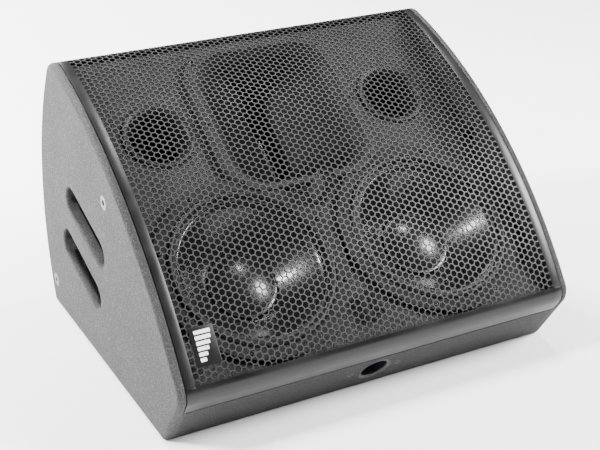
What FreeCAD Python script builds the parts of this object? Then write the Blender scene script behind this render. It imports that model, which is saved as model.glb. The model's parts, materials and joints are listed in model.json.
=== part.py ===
import FreeCAD, Part
import math
import os
import Sketcher
from FreeCAD import Placement, Rotation, Vector

# Stage monitor wedge: a birch-ply cabinet with a curved perforated front, two ten-inch
# woofers, a central horn with its compression driver, and two bass ports.
# Frame: X to the right, Y to the back, Z up, millimetres. The origin is on the floor,
# under the middle of the cabinet's box. The front faces -Y.

SIZES = [
    # overall
    ("cabinet_width", 580.0),
    ("floor_depth", 411.0),
    ("nose_reach", 57.0),
    ("nose_height", 88.5),
    ("top_back", 362.0),
    ("top_height", 391.5),
    ("front_bulge", 49.0),
    ("rear_bulge", 47.0),
    ("nose_radius", 24.0),
    ("top_radius", 30.0),
    # cabinet wood
    ("panel_thickness", 15.0),
    ("baffle_thickness", 18.0),
    ("baffle_recess", 7.0),
    ("edge_radius", 6.0),
    ("foot_radius", 8.0),
    # grille
    ("grille_thickness", 1.5),
    ("grille_seat", 2.2),
    ("lip_width", 10.0),
    ("grille_gap", 0.9),
    ("apron_height", 72.0),
    ("flange_gap", 2.2),
    ("top_return", 36.0),
    ("badge_width", 32.0),
    ("badge_height", 48.0),
    ("badge_thickness", 1.2),
    ("badge_inset", 49.0),
    ("badge_up", 59.5),
    # handles
    ("slot_width", 38.0),
    ("slot_length", 145.0),
    ("slot_spacing", 77.0),
    ("slot_tilt", 18.0),
    ("slot_edge", 4.2),
    ("handle_back", 265.0),
    ("handle_up", 150.0),
    ("cup_depth", 44.0),
    ("cup_wall", 3.0),
    ("cup_margin", 10.0),
    # rigging points
    ("rig_screw_radius", 5.0),
    ("rig_head_radius", 10.0),
    ("rig_screw_length", 32.0),
    ("rig_front_back", 172.0),
    ("rig_front_up", 255.0),
    ("rig_rear_back", 397.0),
    ("rig_rear_up", 40.0),
    # woofers
    ("woofer_offset", 133.5),
    ("woofer_up", 149.0),
    ("woofer_radius", 130.0),
    ("woofer_seat", 13.0),
    ("woofer_flange", 6.0),
    ("gasket_height", 3.0),
    ("ring_width", 17.0),
    ("surround_roll", 13.7),
    ("cone_rim", 5.0),
    ("coil_radius", 38.0),
    ("neck_depth", 52.5),
    ("cap_radius", 47.0),
    ("cap_height", 14.0),
    ("magnet_radius", 70.0),
    ("magnet_height", 22.0),
    ("plate_depth", 74.0),
    ("plate_thickness", 8.0),
    ("running_gap", 0.5),
    # horn and its driver
    ("horn_width", 240.0),
    ("horn_height", 237.0),
    ("horn_corner", 58.0),
    ("horn_up", 368.5),
    ("horn_proud", 12.0),
    ("flange_side", 16.0),
    ("flange_end", 9.0),
    ("flange_corner", 8.0),
    ("horn_depth", 130.0),
    ("throat_radius", 18.0),
    ("horn_wall", 3.0),
    ("driver_radius", 58.0),
    ("driver_height", 47.0),
    # ports
    ("port_offset", 182.0),
    ("port_up", 369.0),
    ("port_radius", 37.5),
    ("port_wall", 3.0),
    ("port_rim", 13.5),
    ("port_collar", 9.5),
    ("port_flare", 16.0),
    ("port_length", 92.0),
    # pole socket
    ("pole_radius", 18.25),
    ("pole_lip", 5.75),
    ("pole_depth", 70.0),
    ("pole_up", 41.0),
    ("pole_screw_offset", 36.0),
    # connector dish
    ("dish_width", 160.0),
    ("dish_height", 90.0),
    ("dish_depth", 32.0),
    ("dish_flange", 10.0),
    ("dish_wall", 3.0),
    ("socket_radius", 13.0),
    ("socket_offset", 38.0),
    ("socket_length", 20.0),
    # inside
    ("board_rise", 10.0),
    ("board_thickness", 1.6),
    ("wadding_height", 25.0),
    # fastenings
    ("bore_gap", 0.1),
]

doc = FreeCAD.newDocument("monitor_wedge")
sheet = doc.addObject("Spreadsheet::Sheet", "Sizes")
for row, (alias, amount) in enumerate(SIZES, start=1):
    sheet.set("A%d" % row, alias)
    sheet.set("B%d" % row, str(amount))
    sheet.setAlias("B%d" % row, alias)
doc.recompute()


class Size:
    """A length with its spreadsheet expression, so that sums of sizes stay bound to the cells."""

    def __init__(self, number, text):
        self.number = number
        self.text = text

    def __add__(self, other):
        return Size(self.number + number(other), "(%s + %s)" % (self.text, text(other)))

    def __sub__(self, other):
        return Size(self.number - number(other), "(%s - %s)" % (self.text, text(other)))

    def __mul__(self, other):
        return Size(self.number * number(other), "(%s * %s)" % (self.text, text(other)))

    def __neg__(self):
        return Size(-self.number, "(0 - %s)" % self.text)


def number(value):
    return value.number if isinstance(value, Size) else float(value)


def text(value):
    return value.text if isinstance(value, Size) else repr(float(value))


class Cells:
    """The sheet's cells by name, each as a Size."""

    def __getattr__(self, alias):
        return Size(float(sheet.get(alias)), "Sizes." + alias)


at = Cells()


def num(alias):
    return float(sheet.get(alias))


# ---------------------------------------------------------------- side outline
# Plane points are (y, z) pairs, measured from the cabinet's front edge on the floor.


def plus(p, q, k=1.0):
    return (p[0] + k * q[0], p[1] + k * q[1])


def unit(p):
    size = math.hypot(p[0], p[1])
    return (p[0] / size, p[1] / size)


def arc_circle(start, end, bulge, inside):
    """Centre and radius of the arc over a chord, bulging away from the point inside."""
    chord = plus(end, start, -1)
    half = math.hypot(chord[0], chord[1]) / 2
    radius = (half * half + bulge * bulge) / (2 * bulge)
    middle = plus(start, chord, 0.5)
    across = unit((-chord[1], chord[0]))
    toward = plus(inside, middle, -1)
    side = 1 if across[0] * toward[0] + across[1] * toward[1] > 0 else -1
    return plus(middle, across, side * (radius - bulge)), radius


def polar(centre, radius, angle):
    return (centre[0] + radius * math.cos(angle), centre[1] + radius * math.sin(angle))


def bearing(centre, point):
    return math.atan2(point[1] - centre[1], point[0] - centre[0])


FLOOR_FRONT = (0.0, 0.0)
FLOOR_REAR = (num("floor_depth"), 0.0)
NOSE = (-num("nose_reach"), num("nose_height"))
TOP = (num("top_back"), num("top_height"))
MIDDLE = ((FLOOR_REAR[0] + NOSE[0]) / 2, num("top_height") / 3)
FRONT_C, FRONT_R = arc_circle(NOSE, TOP, num("front_bulge"), MIDDLE)
REAR_C, REAR_R = arc_circle(TOP, FLOOR_REAR, num("rear_bulge"), MIDDLE)
APRON = unit(NOSE)
APRON_IN = (APRON[1], -APRON[0])
CHORD = unit(plus(TOP, NOSE, -1))
CHORD_IN = (CHORD[1], -CHORD[0])
CHORD_LENGTH = math.hypot(TOP[0] - NOSE[0], TOP[1] - NOSE[1])
TILT = math.degrees(math.atan2(CHORD[1], CHORD[0]))


def nose_centre():
    """Centre of the nose rounding, which touches the apron line and the front arc."""
    radius = num("nose_radius")
    base = plus(FLOOR_FRONT, APRON_IN, radius)
    away = plus(base, FRONT_C, -1)
    along = away[0] * APRON[0] + away[1] * APRON[1]
    reach = FRONT_R - radius
    rest = away[0] ** 2 + away[1] ** 2 - reach ** 2
    return plus(base, APRON, -along + math.sqrt(along * along - rest))


def top_centre():
    """Centre of the top rounding, which touches the front arc and the rear arc."""
    radius = num("top_radius")
    a = FRONT_R - radius
    b = REAR_R - radius
    line = plus(REAR_C, FRONT_C, -1)
    gap = math.hypot(line[0], line[1])
    along = (a * a - b * b + gap * gap) / (2 * gap)
    off = math.sqrt(a * a - along * along)
    foot = plus(FRONT_C, unit(line), along)
    across = unit((-line[1], line[0]))
    picks = [plus(foot, across, off), plus(foot, across, -off)]
    return min(picks, key=lambda p: math.hypot(p[0] - TOP[0], p[1] - TOP[1]))


NOSE_C = nose_centre()
TOP_C = top_centre()
REAR_TOP_ANGLE = bearing(REAR_C, TOP)


def nose_arc(inset):
    """Nose rounding from the apron to the front arc: start, middle, end."""
    radius = num("nose_radius") - inset
    start = bearing(APRON_IN, (0, 0)) + 2 * math.pi
    end = bearing(FRONT_C, NOSE_C)
    return [polar(NOSE_C, radius, a) for a in (start, (start + end) / 2, end)]


def front_arc(inset):
    start = bearing(FRONT_C, NOSE_C)
    end = bearing(FRONT_C, TOP_C)
    return [polar(FRONT_C, FRONT_R - inset, a) for a in (start, (start + end) / 2, end)]


def top_arc(inset):
    start = bearing(FRONT_C, TOP_C)
    end = bearing(REAR_C, TOP_C)
    return [polar(TOP_C, num("top_radius") - inset, a) for a in (start, (start + end) / 2, end)]


def rear_point(down, inset):
    """A point on the rear arc, a stretch of arc below the top corner."""
    return polar(REAR_C, REAR_R - inset, REAR_TOP_ANGLE - down / REAR_R)


def rear_arc(inset, down):
    """Rear arc from the top rounding to a point that lies the given stretch below the top."""
    start = bearing(REAR_C, TOP_C)
    end = REAR_TOP_ANGLE - down / REAR_R
    return [polar(REAR_C, REAR_R - inset, a) for a in (start, (start + end) / 2, end)]


def rear_floor_down(inset):
    """Stretch of rear arc from the top corner to the floor, at an inset."""
    return (REAR_TOP_ANGLE - math.asin(-REAR_C[1] / (REAR_R - inset))) * REAR_R


def apron_point(up, inset):
    return plus((APRON[0] * up, APRON[1] * up), APRON_IN, inset)


Y_FRONT = NOSE_C[0] - num("nose_radius")
Y_REAR = REAR_C[0] + REAR_R
Y_SHIFT = -(Y_FRONT + Y_REAR) / 2
CABINET = Placement(Vector(0, Y_SHIFT, 0), Rotation())
BAFFLE_ZERO = plus(NOSE, CHORD_IN, num("baffle_recess"))


def on_baffle(x, up, proud=0.0, turn=0.0):
    """Placement whose Z is the baffle's outward normal, at a point of the baffle's front."""
    point = plus(plus(BAFFLE_ZERO, CHORD, up), CHORD_IN, -proud)
    lean = Rotation(Vector(1, 0, 0), TILT)
    return Placement(Vector(x, point[0] + Y_SHIFT, point[1]), lean * Rotation(Vector(0, 0, 1), turn))


# ---------------------------------------------------------------- makers


def new_body(name, place=CABINET):
    body = doc.addObject("PartDesign::Body", name)
    body.Label = name
    body.Placement = place
    return body


def origin_plane(body, role):
    return [item for item in body.Origin.OriginFeatures if item.Role == role][0]


def sketch_on(body, role, name):
    sketch = body.newObject("Sketcher::SketchObject", name)
    sketch.AttachmentSupport = (origin_plane(body, role), "")
    sketch.MapMode = "FlatFace"
    return sketch


def pin_vertex(sketch, geometry, end, point):
    """Hold one end of a line or arc at its place, bound to the sheet where it is a Size."""
    for axis, kind, value in ((-2, "DistanceX", point[0]), (-1, "DistanceY", point[1])):
        if abs(number(value)) < 1e-9:
            sketch.addConstraint(Sketcher.Constraint("PointOnObject", geometry, end, axis))
            continue
        index = sketch.addConstraint(Sketcher.Constraint(kind, geometry, end, number(value)))
        if isinstance(value, Size):
            sketch.setExpression("Constraints[%d]" % index, value.text)


def pin_centre(sketch, arc, chord):
    """Hold an arc's bulge by one coordinate of its centre, across the chord."""
    centre = sketch.Geometry[arc].Center
    kind, value = ("DistanceY", centre.y) if abs(chord.x) > abs(chord.y) else ("DistanceX", centre.x)
    if abs(value) < 1e-9:
        axis = -1 if kind == "DistanceY" else -2
        sketch.addConstraint(Sketcher.Constraint("PointOnObject", arc, 3, axis))
    else:
        sketch.addConstraint(Sketcher.Constraint(kind, arc, 3, value))


def outline(sketch, points):
    """Draw a closed loop. Each entry is a corner (a, b), or the middle of an arc ("arc", a, b)."""
    corners = [p for p in points if p[0] != "arc"]
    first = len(sketch.Geometry)
    ends = []
    count = len(points)
    index = 0
    while index < count:
        start = points[index]
        step = points[(index + 1) % count]
        a = Vector(number(start[0]), number(start[1]), 0)
        if step[0] == "arc":
            stop = points[(index + 2) % count]
            middle = Vector(number(step[1]), number(step[2]), 0)
            b = Vector(number(stop[0]), number(stop[1]), 0)
            sketch.addGeometry(Part.Arc(a, middle, b), False)
            turn = (middle - a).cross(b - middle).z
            ends.append((1, 2) if turn > 0 else (2, 1))
            pin_centre(sketch, len(sketch.Geometry) - 1, b - a)
            index += 2
        else:
            b = Vector(number(step[0]), number(step[1]), 0)
            sketch.addGeometry(Part.LineSegment(a, b), False)
            ends.append((1, 2))
            index += 1
    for k, corner in enumerate(corners):
        before = (k - 1) % len(corners)
        joint = Sketcher.Constraint("Coincident", first + before, ends[before][1],
                                    first + k, ends[k][0])
        sketch.addConstraint(joint)
        pin_vertex(sketch, first + k, ends[k][0], corner)


def circle(sketch, centre, radius):
    middle = Vector(number(centre[0]), number(centre[1]), 0)
    index = sketch.addGeometry(Part.Circle(middle, Vector(0, 0, 1), number(radius)), False)
    pin_vertex(sketch, index, 3, centre)
    held = sketch.addConstraint(Sketcher.Constraint("Radius", index, number(radius)))
    if isinstance(radius, Size):
        sketch.setExpression("Constraints[%d]" % held, radius.text)


def set_size(feature, name, value):
    setattr(feature, name, number(value))
    if isinstance(value, Size):
        feature.setExpression(name, value.text)


def pad(body, sketch, length, reverse=False, both_ways=False):
    feature = body.newObject("PartDesign::Pad", body.Name + "_pad")
    feature.Profile = sketch
    set_size(feature, "Length", length)
    feature.Reversed = reverse
    if both_ways:
        feature.SideType = "Symmetric"
    sketch.Visibility = False
    return feature


def pocket(body, sketch, length=None, reverse=False):
    """Cut a sketch out of the body: right through both ways, or to a depth."""
    doc.recompute()
    before = body.Shape.Volume
    feature = body.newObject("PartDesign::Pocket", body.Name + "_cut")
    feature.Profile = sketch
    if length is None:
        feature.SideType = "Two sides"
        feature.Type = "ThroughAll"
        feature.Type2 = "ThroughAll"
    else:
        set_size(feature, "Length", length)
        feature.Reversed = reverse
    doc.recompute()
    if body.Shape.Volume > before - 1e-3:
        raise RuntimeError("a cut in %s removed nothing" % body.Name)
    return feature


def fillet(body, keep, radius):
    """Round the body's edges that the test keep accepts."""
    doc.recompute()
    tip = body.Tip
    names = ["Edge%d" % (k + 1) for k, edge in enumerate(tip.Shape.Edges) if keep(edge)]
    feature = body.newObject("PartDesign::Fillet", body.Name + "_round")
    feature.Base = (tip, names)
    set_size(feature, "Radius", radius)
    doc.recompute()
    return feature


def turned(name, place, points):
    """A round piece: its half profile of (radius, height) points, turned about its own axis."""
    body = new_body(name, place)
    sketch = sketch_on(body, "XZ_Plane", name + "_profile")
    outline(sketch, points)
    feature = body.newObject("PartDesign::Revolution", name + "_turn")
    feature.Profile = sketch
    feature.ReferenceAxis = (sketch, ["V_Axis"])
    feature.Angle = 360.0
    return body


def ring(name, place, inner, outer, low, high):
    """A plain ring or, with no inner radius, a disc."""
    return turned(name, place, [(inner, low), (outer, low), (outer, high), (inner, high)])


def board(name, points, length, place=CABINET, both_ways=True):
    """A board cut to a side outline and laid across the cabinet."""
    body = new_body(name, place)
    sketch = sketch_on(body, "YZ_Plane", name + "_outline")
    outline(sketch, points)
    pad(body, sketch, length, both_ways=both_ways)
    return body


def solid_group(name, shapes):
    """Identical loose solids that share one node."""
    feature = doc.addObject("Part::Feature", name)
    feature.Label = name
    feature.Shape = Part.makeCompound(shapes)
    return feature


def hexagon(across, height, base):
    corner = across / math.sqrt(3)
    turns = [math.radians(60 * k) for k in range(7)]
    wire = Part.makePolygon([Vector(corner * math.cos(a), corner * math.sin(a), base) for a in turns])
    return Part.Face(wire).extrude(Vector(0, 0, height))


def countersunk(head, height, shank, length, key):
    """A countersunk screw with a hexagon key, its head's top at zero and its shank down -Z."""
    cone = Part.makeCone(shank, head, height, Vector(0, 0, -height))
    stem = Part.makeCylinder(shank, length - height + 0.01, Vector(0, 0, -length))
    return cone.fuse(stem).cut(hexagon(key, height, -height * 0.7)).removeSplitter()


def pan_head(head, height, shank, length, key):
    """A round-headed screw standing on zero, its shank down -Z."""
    dome = Part.makeCylinder(head, height)
    dome = dome.makeFillet(height * 0.45, [e for e in dome.Edges if e.BoundBox.ZMin > height - 0.01])
    stem = Part.makeCylinder(shank, length + 0.01, Vector(0, 0, -length))
    return dome.fuse(stem).cut(hexagon(key, height, height * 0.4)).removeSplitter()


def pilot(shank, length, above=0.0):
    """The hole that a screw's shank fills, with a little clearance, and room over it for a tool."""
    gap = num("bore_gap")
    return Part.makeCylinder(shank + gap, length + gap + above, Vector(0, 0, -length - gap))


def sink(head, height, shank):
    """The countersink of a screw's head, with the same clearance."""
    gap = num("bore_gap")
    return Part.makeCone(shank + gap, head + gap, height, Vector(0, 0, -height))


def placed(shape, place):
    copy = shape.copy()
    copy.Placement = place
    return copy


def loop_flat(points):
    """The same loop of corners and arc middles as a flat wire, for lofts and plain cuts."""
    edges = []
    count = len(points)
    index = 0
    while index < count:
        start = Vector(*points[index])
        step = points[(index + 1) % count]
        if step[0] == "arc":
            stop = Vector(*points[(index + 2) % count])
            edges.append(Part.Arc(start, Vector(*step[1:]), stop).toShape())
            index += 2
        else:
            edges.append(Part.LineSegment(start, Vector(*step)).toShape())
            index += 1
    return Part.Wire(edges)


def rounded_rect(width, height, corner):
    """Corners and arc middles of a rounded rectangle about zero, anticlockwise."""
    points = []
    diagonal = corner * (1 - math.sqrt(0.5))
    for sx, sy in ((1, 1), (-1, 1), (-1, -1), (1, -1)):
        x, y = sx * width / 2, sy * height / 2
        side = (x, y - sy * corner)
        flat = (x - sx * corner, y)
        middle = ("arc", x - sx * diagonal, y - sy * diagonal)
        points += [side, middle, flat] if sx == sy else [flat, middle, side]
    return points


def rect_wire(width, height, corner, level):
    points = rounded_rect(width, height, corner)
    return loop_flat([p + (level,) for p in points])


def stadium(length, width, centre, angle):
    """Corners and arc middles of a slot with round ends."""
    lean = math.radians(angle)
    ahead = (math.cos(lean), math.sin(lean))
    across = (-ahead[1], ahead[0])
    half = (length - width) / 2
    radius = width / 2
    rear = plus(centre, ahead, half)
    front = plus(centre, ahead, -half)
    tip = plus(rear, ahead, radius)
    tail = plus(front, ahead, -radius)
    return [plus(rear, across, -radius), ("arc", tip[0], tip[1]), plus(rear, across, radius),
            plus(front, across, radius), ("arc", tail[0], tail[1]), plus(front, across, -radius)]


# ---------------------------------------------------------------- cabinet

HALF = num("cabinet_width") / 2
INNER = HALF - num("panel_thickness")
INSIDE = at.cabinet_width - at.panel_thickness * 2


def arc_path(points):
    """An arc's three points as an outline's corner, arc middle and corner."""
    start, middle, end = points
    return [start, ("arc", middle[0], middle[1]), end]


def panel_outline():
    """The side panel's edge, from the floor's front edge round the nose and the top."""
    nose = arc_path(nose_arc(0))
    front = arc_path(front_arc(0))[1:]
    top = arc_path(top_arc(0))[1:]
    rear = arc_path(rear_arc(0, rear_floor_down(0)))[1:]
    return [FLOOR_FRONT] + nose + front + top + rear


def grille_band(outer, inner, low, high):
    """The band that the grille follows, between two insets from the side outline."""
    path = [apron_point(low, outer)]
    path += arc_path(nose_arc(outer))
    path += arc_path(front_arc(outer))[1:]
    path += arc_path(top_arc(outer))[1:]
    path += arc_path(rear_arc(outer, high))[1:]
    back = list(reversed(rear_arc(inner, high)))
    path += arc_path(back)
    path += arc_path(list(reversed(top_arc(inner))))[1:]
    path += arc_path(list(reversed(front_arc(inner))))[1:]
    path += arc_path(list(reversed(nose_arc(inner))))[1:]
    path += [apron_point(low, inner)]
    return path


HANDLE = (num("handle_back"), num("handle_up"))
SLOT_LEAN = math.radians(num("slot_tilt"))
SLOT_UP = (-math.sin(SLOT_LEAN), math.cos(SLOT_LEAN))
SLOTS = [plus(HANDLE, SLOT_UP, side * num("slot_spacing") / 2) for side in (1, -1)]
RIG_POINTS = [(num("rig_front_back"), num("rig_front_up")), (num("rig_rear_back"), num("rig_rear_up"))]
RIG_HEAD_HEIGHT = num("rig_head_radius") - num("rig_screw_radius")


def foot_edge(corner):
    """Picks the edge that runs across the cabinet at a floor corner."""
    def pick(edge):
        box = edge.BoundBox
        level = abs(box.YMin - corner[0]) + abs(box.ZMin - corner[1])
        return level < 1e-3 and box.YLength + box.ZLength < 1e-3

    return pick


def side_panel(name, side):
    place = Placement(Vector(side * INNER, Y_SHIFT, 0), Rotation())
    body = new_body(name, place)
    sketch = sketch_on(body, "YZ_Plane", name + "_outline")
    outline(sketch, panel_outline())
    pad(body, sketch, at.panel_thickness, reverse=side < 0)
    outer = side * num("panel_thickness")

    def on_outer_face(edge):
        return abs(edge.BoundBox.XMin - outer) < 1e-4 and abs(edge.BoundBox.XMax - outer) < 1e-4

    fillet(body, foot_edge(FLOOR_FRONT), at.foot_radius)
    fillet(body, foot_edge(FLOOR_REAR), at.foot_radius)
    fillet(body, on_outer_face, at.edge_radius)
    slots = sketch_on(body, "YZ_Plane", name + "_slots")
    for centre in SLOTS:
        outline(slots, stadium(num("slot_length"), num("slot_width"), centre, num("slot_tilt")))
    pocket(body, slots)
    edge_length = num("slot_length") + num("slot_edge")

    def slot_rim(edge):
        box = edge.BoundBox
        near = min(math.hypot(box.Center.y - c[0], box.Center.z - c[1]) for c in SLOTS)
        return on_outer_face(edge) and near < edge_length / 2

    fillet(body, slot_rim, at.slot_edge)
    holes = sketch_on(body, "YZ_Plane", name + "_holes")
    for point in RIG_POINTS:
        circle(holes, point, at.rig_screw_radius + 0.3)
    pocket(body, holes)
    seat = sketch_on(body, "YZ_Plane", name + "_seat")
    outline(seat, grille_band(-1.0, num("grille_seat"), num("apron_height"), num("top_return")))
    step = at.panel_thickness - at.lip_width
    pocket(body, seat, step, reverse=side > 0)
    return body


def countersinks(side):
    """The countersinks of the rigging screws in one side panel."""
    head = num("rig_head_radius") + 0.3
    height = RIG_HEAD_HEIGHT + 0.3
    shank = head - height
    cones = []
    for point in RIG_POINTS:
        base = Vector(side * (HALF + 0.01), point[0] + Y_SHIFT, point[1])
        cones.append(Part.makeCone(head, shank, height, base, Vector(-side, 0, 0)))
    return cones


CUP_SCREW_SHANK = 1.7
CUP_SCREW_LENGTH = 12.0
CUP_SCREW_INSET = 1.5
CUP_SCREW_OUTSET = 6.0


def cup_screw_spots():
    """The four screws of a handle cup's flange, from the middle of the cup."""
    margin = num("cup_margin")
    x = num("slot_length") / 2 + margin - CUP_SCREW_INSET
    y = (num("slot_spacing") + num("slot_width")) / 2 + margin + CUP_SCREW_OUTSET
    return [(sx * x, sy * y) for sx in (-1, 1) for sy in (-1, 1)]


def cup_place(side):
    """Z goes into the cabinet, X along the slots, at the panel's inner face."""
    ahead = Vector(0, math.cos(SLOT_LEAN), math.sin(SLOT_LEAN))
    inward = Vector(-side, 0, 0)
    turn = Rotation(ahead, inward.cross(ahead), inward, "ZXY")
    return Placement(Vector(side * INNER, HANDLE[0] + Y_SHIFT, HANDLE[1]), turn)


def cup_screw_places(side):
    return [cup_place(side).multiply(Placement(Vector(x, y, num("cup_wall")), Rotation()))
            for x, y in cup_screw_spots()]


def cut_object(name, base, tools):
    """A kept piece that is a made piece with tools cut away."""
    base.Label = name + "_blank"
    holder = doc.addObject("Part::Feature", name + "_tools")
    holder.Shape = Part.makeCompound(tools)
    result = doc.addObject("Part::Cut", name)
    result.Base = base
    result.Tool = holder
    result.Label = name
    return result


kept = []


def keep(item):
    kept.append(item)
    return item


for label, side in (("left", -1), ("right", 1)):
    blank = side_panel("side_panel_%s_blank" % label, side)
    pilots = [placed(pilot(CUP_SCREW_SHANK, CUP_SCREW_LENGTH), place) for place in cup_screw_places(side)]
    keep(cut_object("side_panel_%s" % label, blank, countersinks(side) + pilots))

FLOOR_SLOPE = APRON_IN[1] / APRON[1]


def apron_board():
    """The lower front board, stepped back under the grille's lower flange."""
    thick = num("panel_thickness")
    seat = num("grille_seat")
    top = num("apron_height") - num("flange_gap") * 0.5
    nose_start = nose_arc(0)[0]
    straight = nose_start[0] * APRON[0] + nose_start[1] * APRON[1] - 3.0
    baffle_top = plus(BAFFLE_ZERO, CHORD, thick)
    crest = baffle_top[0] * APRON[0] + baffle_top[1] * APRON[1]
    return [FLOOR_FRONT, apron_point(top, 0), apron_point(top, seat), apron_point(straight, seat),
            apron_point(crest, thick), apron_point(-thick * FLOOR_SLOPE, thick)]


apron = board("apron_blank", apron_board(), INSIDE)
fillet(apron, foot_edge(FLOOR_FRONT), at.foot_radius)


def apron_place(up, inset, x=0.0):
    """Placement whose Z leaves the apron's face, at a height along the apron."""
    point = apron_point(up, inset)
    outward = Vector(0, -APRON_IN[0], -APRON_IN[1])
    turn = Rotation(Vector(0, 0, 1), outward)
    return Placement(Vector(x, point[0] + Y_SHIFT, point[1]), turn)


POLE_SCREW = (5.0, 2.6, 2.5, 26.0)


def pole_screw_places():
    return [apron_place(num("pole_up"), 0, side * num("pole_screw_offset")) for side in (-1, 1)]


def pole_tools():
    """The pole socket's hole through the apron, with its two screw holes."""
    head, height, shank, length = POLE_SCREW
    deep = 3 * num("panel_thickness")
    rim = num("pole_radius") + num("pole_lip") + 0.3
    bore = Part.makeCylinder(rim, 2 * deep, Vector(0, 0, -deep))
    tools = [placed(bore, apron_place(num("pole_up"), 0))]
    for place in pole_screw_places():
        tools.append(placed(sink(head, height, shank).fuse(pilot(shank, length)), place))
    return tools


keep(cut_object("apron_panel", apron, pole_tools()))


def floor_board():
    """The bottom board, between the apron's foot and the rear board's foot."""
    thick = num("panel_thickness")
    front = apron_point(-thick * FLOOR_SLOPE, thick)
    lean = thick * APRON[0] / APRON[1]
    rear = REAR_C[0] + math.sqrt((REAR_R - thick) ** 2 - REAR_C[1] ** 2)
    return [(front[0], 0.0), (rear, 0.0), (rear, thick), (front[0] + lean, thick)]


keep(board("bottom_panel", floor_board(), INSIDE))


def rear_board():
    """The bent rear board, stepped in under the grille's rear return."""
    thick = num("panel_thickness")
    seat = num("grille_seat")
    turn_in = num("top_return") + 1.0
    straight = (REAR_TOP_ANGLE - bearing(REAR_C, TOP_C)) * REAR_R + 3.0
    crest = num("baffle_recess") + 1.0
    outer_end = rear_floor_down(0)
    inner_end = rear_floor_down(thick)
    middle_out = rear_point((turn_in + outer_end) / 2, 0)
    middle_in = rear_point((crest + inner_end) / 2, thick)
    middle_seat = rear_point((turn_in + straight) / 2, seat)
    return [rear_point(outer_end, 0), ("arc",) + middle_out, rear_point(turn_in, 0),
            rear_point(turn_in, seat), ("arc",) + middle_seat, rear_point(straight, seat),
            rear_point(crest, thick), ("arc",) + middle_in, rear_point(inner_end, thick)]


rear = board("rear_blank", rear_board(), INSIDE)
fillet(rear, foot_edge(FLOOR_REAR), at.foot_radius)

DISH_UP = REAR_C[1]
DISH_BACK = Y_REAR + Y_SHIFT
FLANGE_DEEP = 2.5
TUB_INSET = 1.0


def block(name, x, y, z, corner):
    item = doc.addObject("Part::Box", name)
    for side, value in (("Length", x), ("Width", y), ("Height", z)):
        set_size(item, side, value)
    item.Placement.Base = corner
    return item


def fuse(name, base, tool):
    item = doc.addObject("Part::Fuse", name)
    item.Base = base
    item.Tool = tool
    return item


def cut(name, base, tool):
    item = doc.addObject("Part::Cut", name)
    item.Base = base
    item.Tool = tool
    return item


def common(name, base, tool):
    item = doc.addObject("Part::Common", name)
    item.Base = base
    item.Tool = tool
    return item


def rear_cylinder(name, inset, half):
    """A cylinder about the rear arc's centre, lying across the cabinet."""
    item = doc.addObject("Part::Cylinder", name)
    item.Radius = REAR_R - inset
    item.Height = 2 * half
    lie = Rotation(Vector(0, 1, 0), 90)
    item.Placement = Placement(Vector(-half, REAR_C[0] + Y_SHIFT, REAR_C[1]), lie)
    return item


def dish_flange_shell(name, grow):
    """The dish's flange: the outer skin of the rear arc over a rectangle."""
    width = num("dish_width") + 2 * num("dish_flange") + 2 * grow
    height = num("dish_height") + 2 * num("dish_flange") + 2 * grow
    corner = Vector(-width / 2, DISH_BACK - 30, DISH_UP - height / 2)
    slab = block(name + "_slab", width, 60, height, corner)
    skin = cut(name + "_skin", rear_cylinder(name + "_outer", -grow, width),
               rear_cylinder(name + "_inner", FLANGE_DEEP + grow * 0.2, width + 1))
    return common(name + "_shell", slab, skin)


def dish_box(name, grow, depth):
    """The dish's tub, from behind the arc's crown to a depth."""
    width = at.dish_width - 2 * TUB_INSET + 2 * grow
    height = at.dish_height - 2 * TUB_INSET + 2 * grow
    corner = Vector(-number(width) / 2, DISH_BACK - depth, DISH_UP - number(height) / 2)
    return block(name, width, depth, height, corner)


rear_tool = fuse("rear_cutout", dish_box("rear_hole", 1.0, 40.0), dish_flange_shell("rear_seat", 0.4))
rear_cut = cut("rear_panel_opened", rear, rear_tool)
DISH_SCREW = (3.4, 2.2, 1.75, 12.0)
GRILLE_SCREW = (4.2, 1.4, 2.0, 14.0)


def dish_screw_places():
    """Two screws in each side border of the dish's flange."""
    places = []
    for sx, sz in ((-1, -1), (-1, 1), (1, -1), (1, 1)):
        x = sx * (num("dish_width") + num("dish_flange")) / 2
        angle = math.asin(sz * num("dish_height") * 0.25 / REAR_R)
        seat = polar(REAR_C, REAR_R, angle)
        outward = Vector(0, math.cos(angle), math.sin(angle))
        places.append(Placement(Vector(x, seat[0] + Y_SHIFT, seat[1]), Rotation(Vector(0, 0, 1), outward)))
    return places


def grille_screw_places():
    """Four screws along the grille's rear return, halfway down it."""
    down = (num("top_return") + (REAR_TOP_ANGLE - bearing(REAR_C, TOP_C)) * REAR_R) / 2
    seat = rear_point(down, 0)
    outward = unit(plus(seat, REAR_C, -1))
    turn = Rotation(Vector(0, 0, 1), Vector(0, outward[0], outward[1]))
    reach = INNER * 0.9
    return [Placement(Vector(reach * share, seat[0] + Y_SHIFT, seat[1]), turn)
            for share in (-1, -1 / 3, 1 / 3, 1)]


rear_pilots = [placed(pilot(DISH_SCREW[2], DISH_SCREW[3]), place) for place in dish_screw_places()]
rear_pilots += [placed(pilot(GRILLE_SCREW[2], GRILLE_SCREW[3]), place) for place in grille_screw_places()]
keep(cut_object("rear_panel", rear_cut, rear_pilots))

dish_depth = num("dish_depth") + num("dish_wall")
dish_outer = common("dish_outer", dish_box("dish_block", 0.0, dish_depth),
                    rear_cylinder("dish_crown", 0.0, num("dish_width")))
dish_solid = fuse("dish_solid", dish_outer, dish_flange_shell("dish_flange", 0.0))
dish_inner = dish_box("dish_hollow", -num("dish_wall"), num("dish_depth"))
dish_blank = cut("dish_blank", dish_solid, dish_inner)
SOCKET_X = (-num("socket_offset"), num("socket_offset"))
DISH_FLOOR = DISH_BACK - num("dish_depth")


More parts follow.
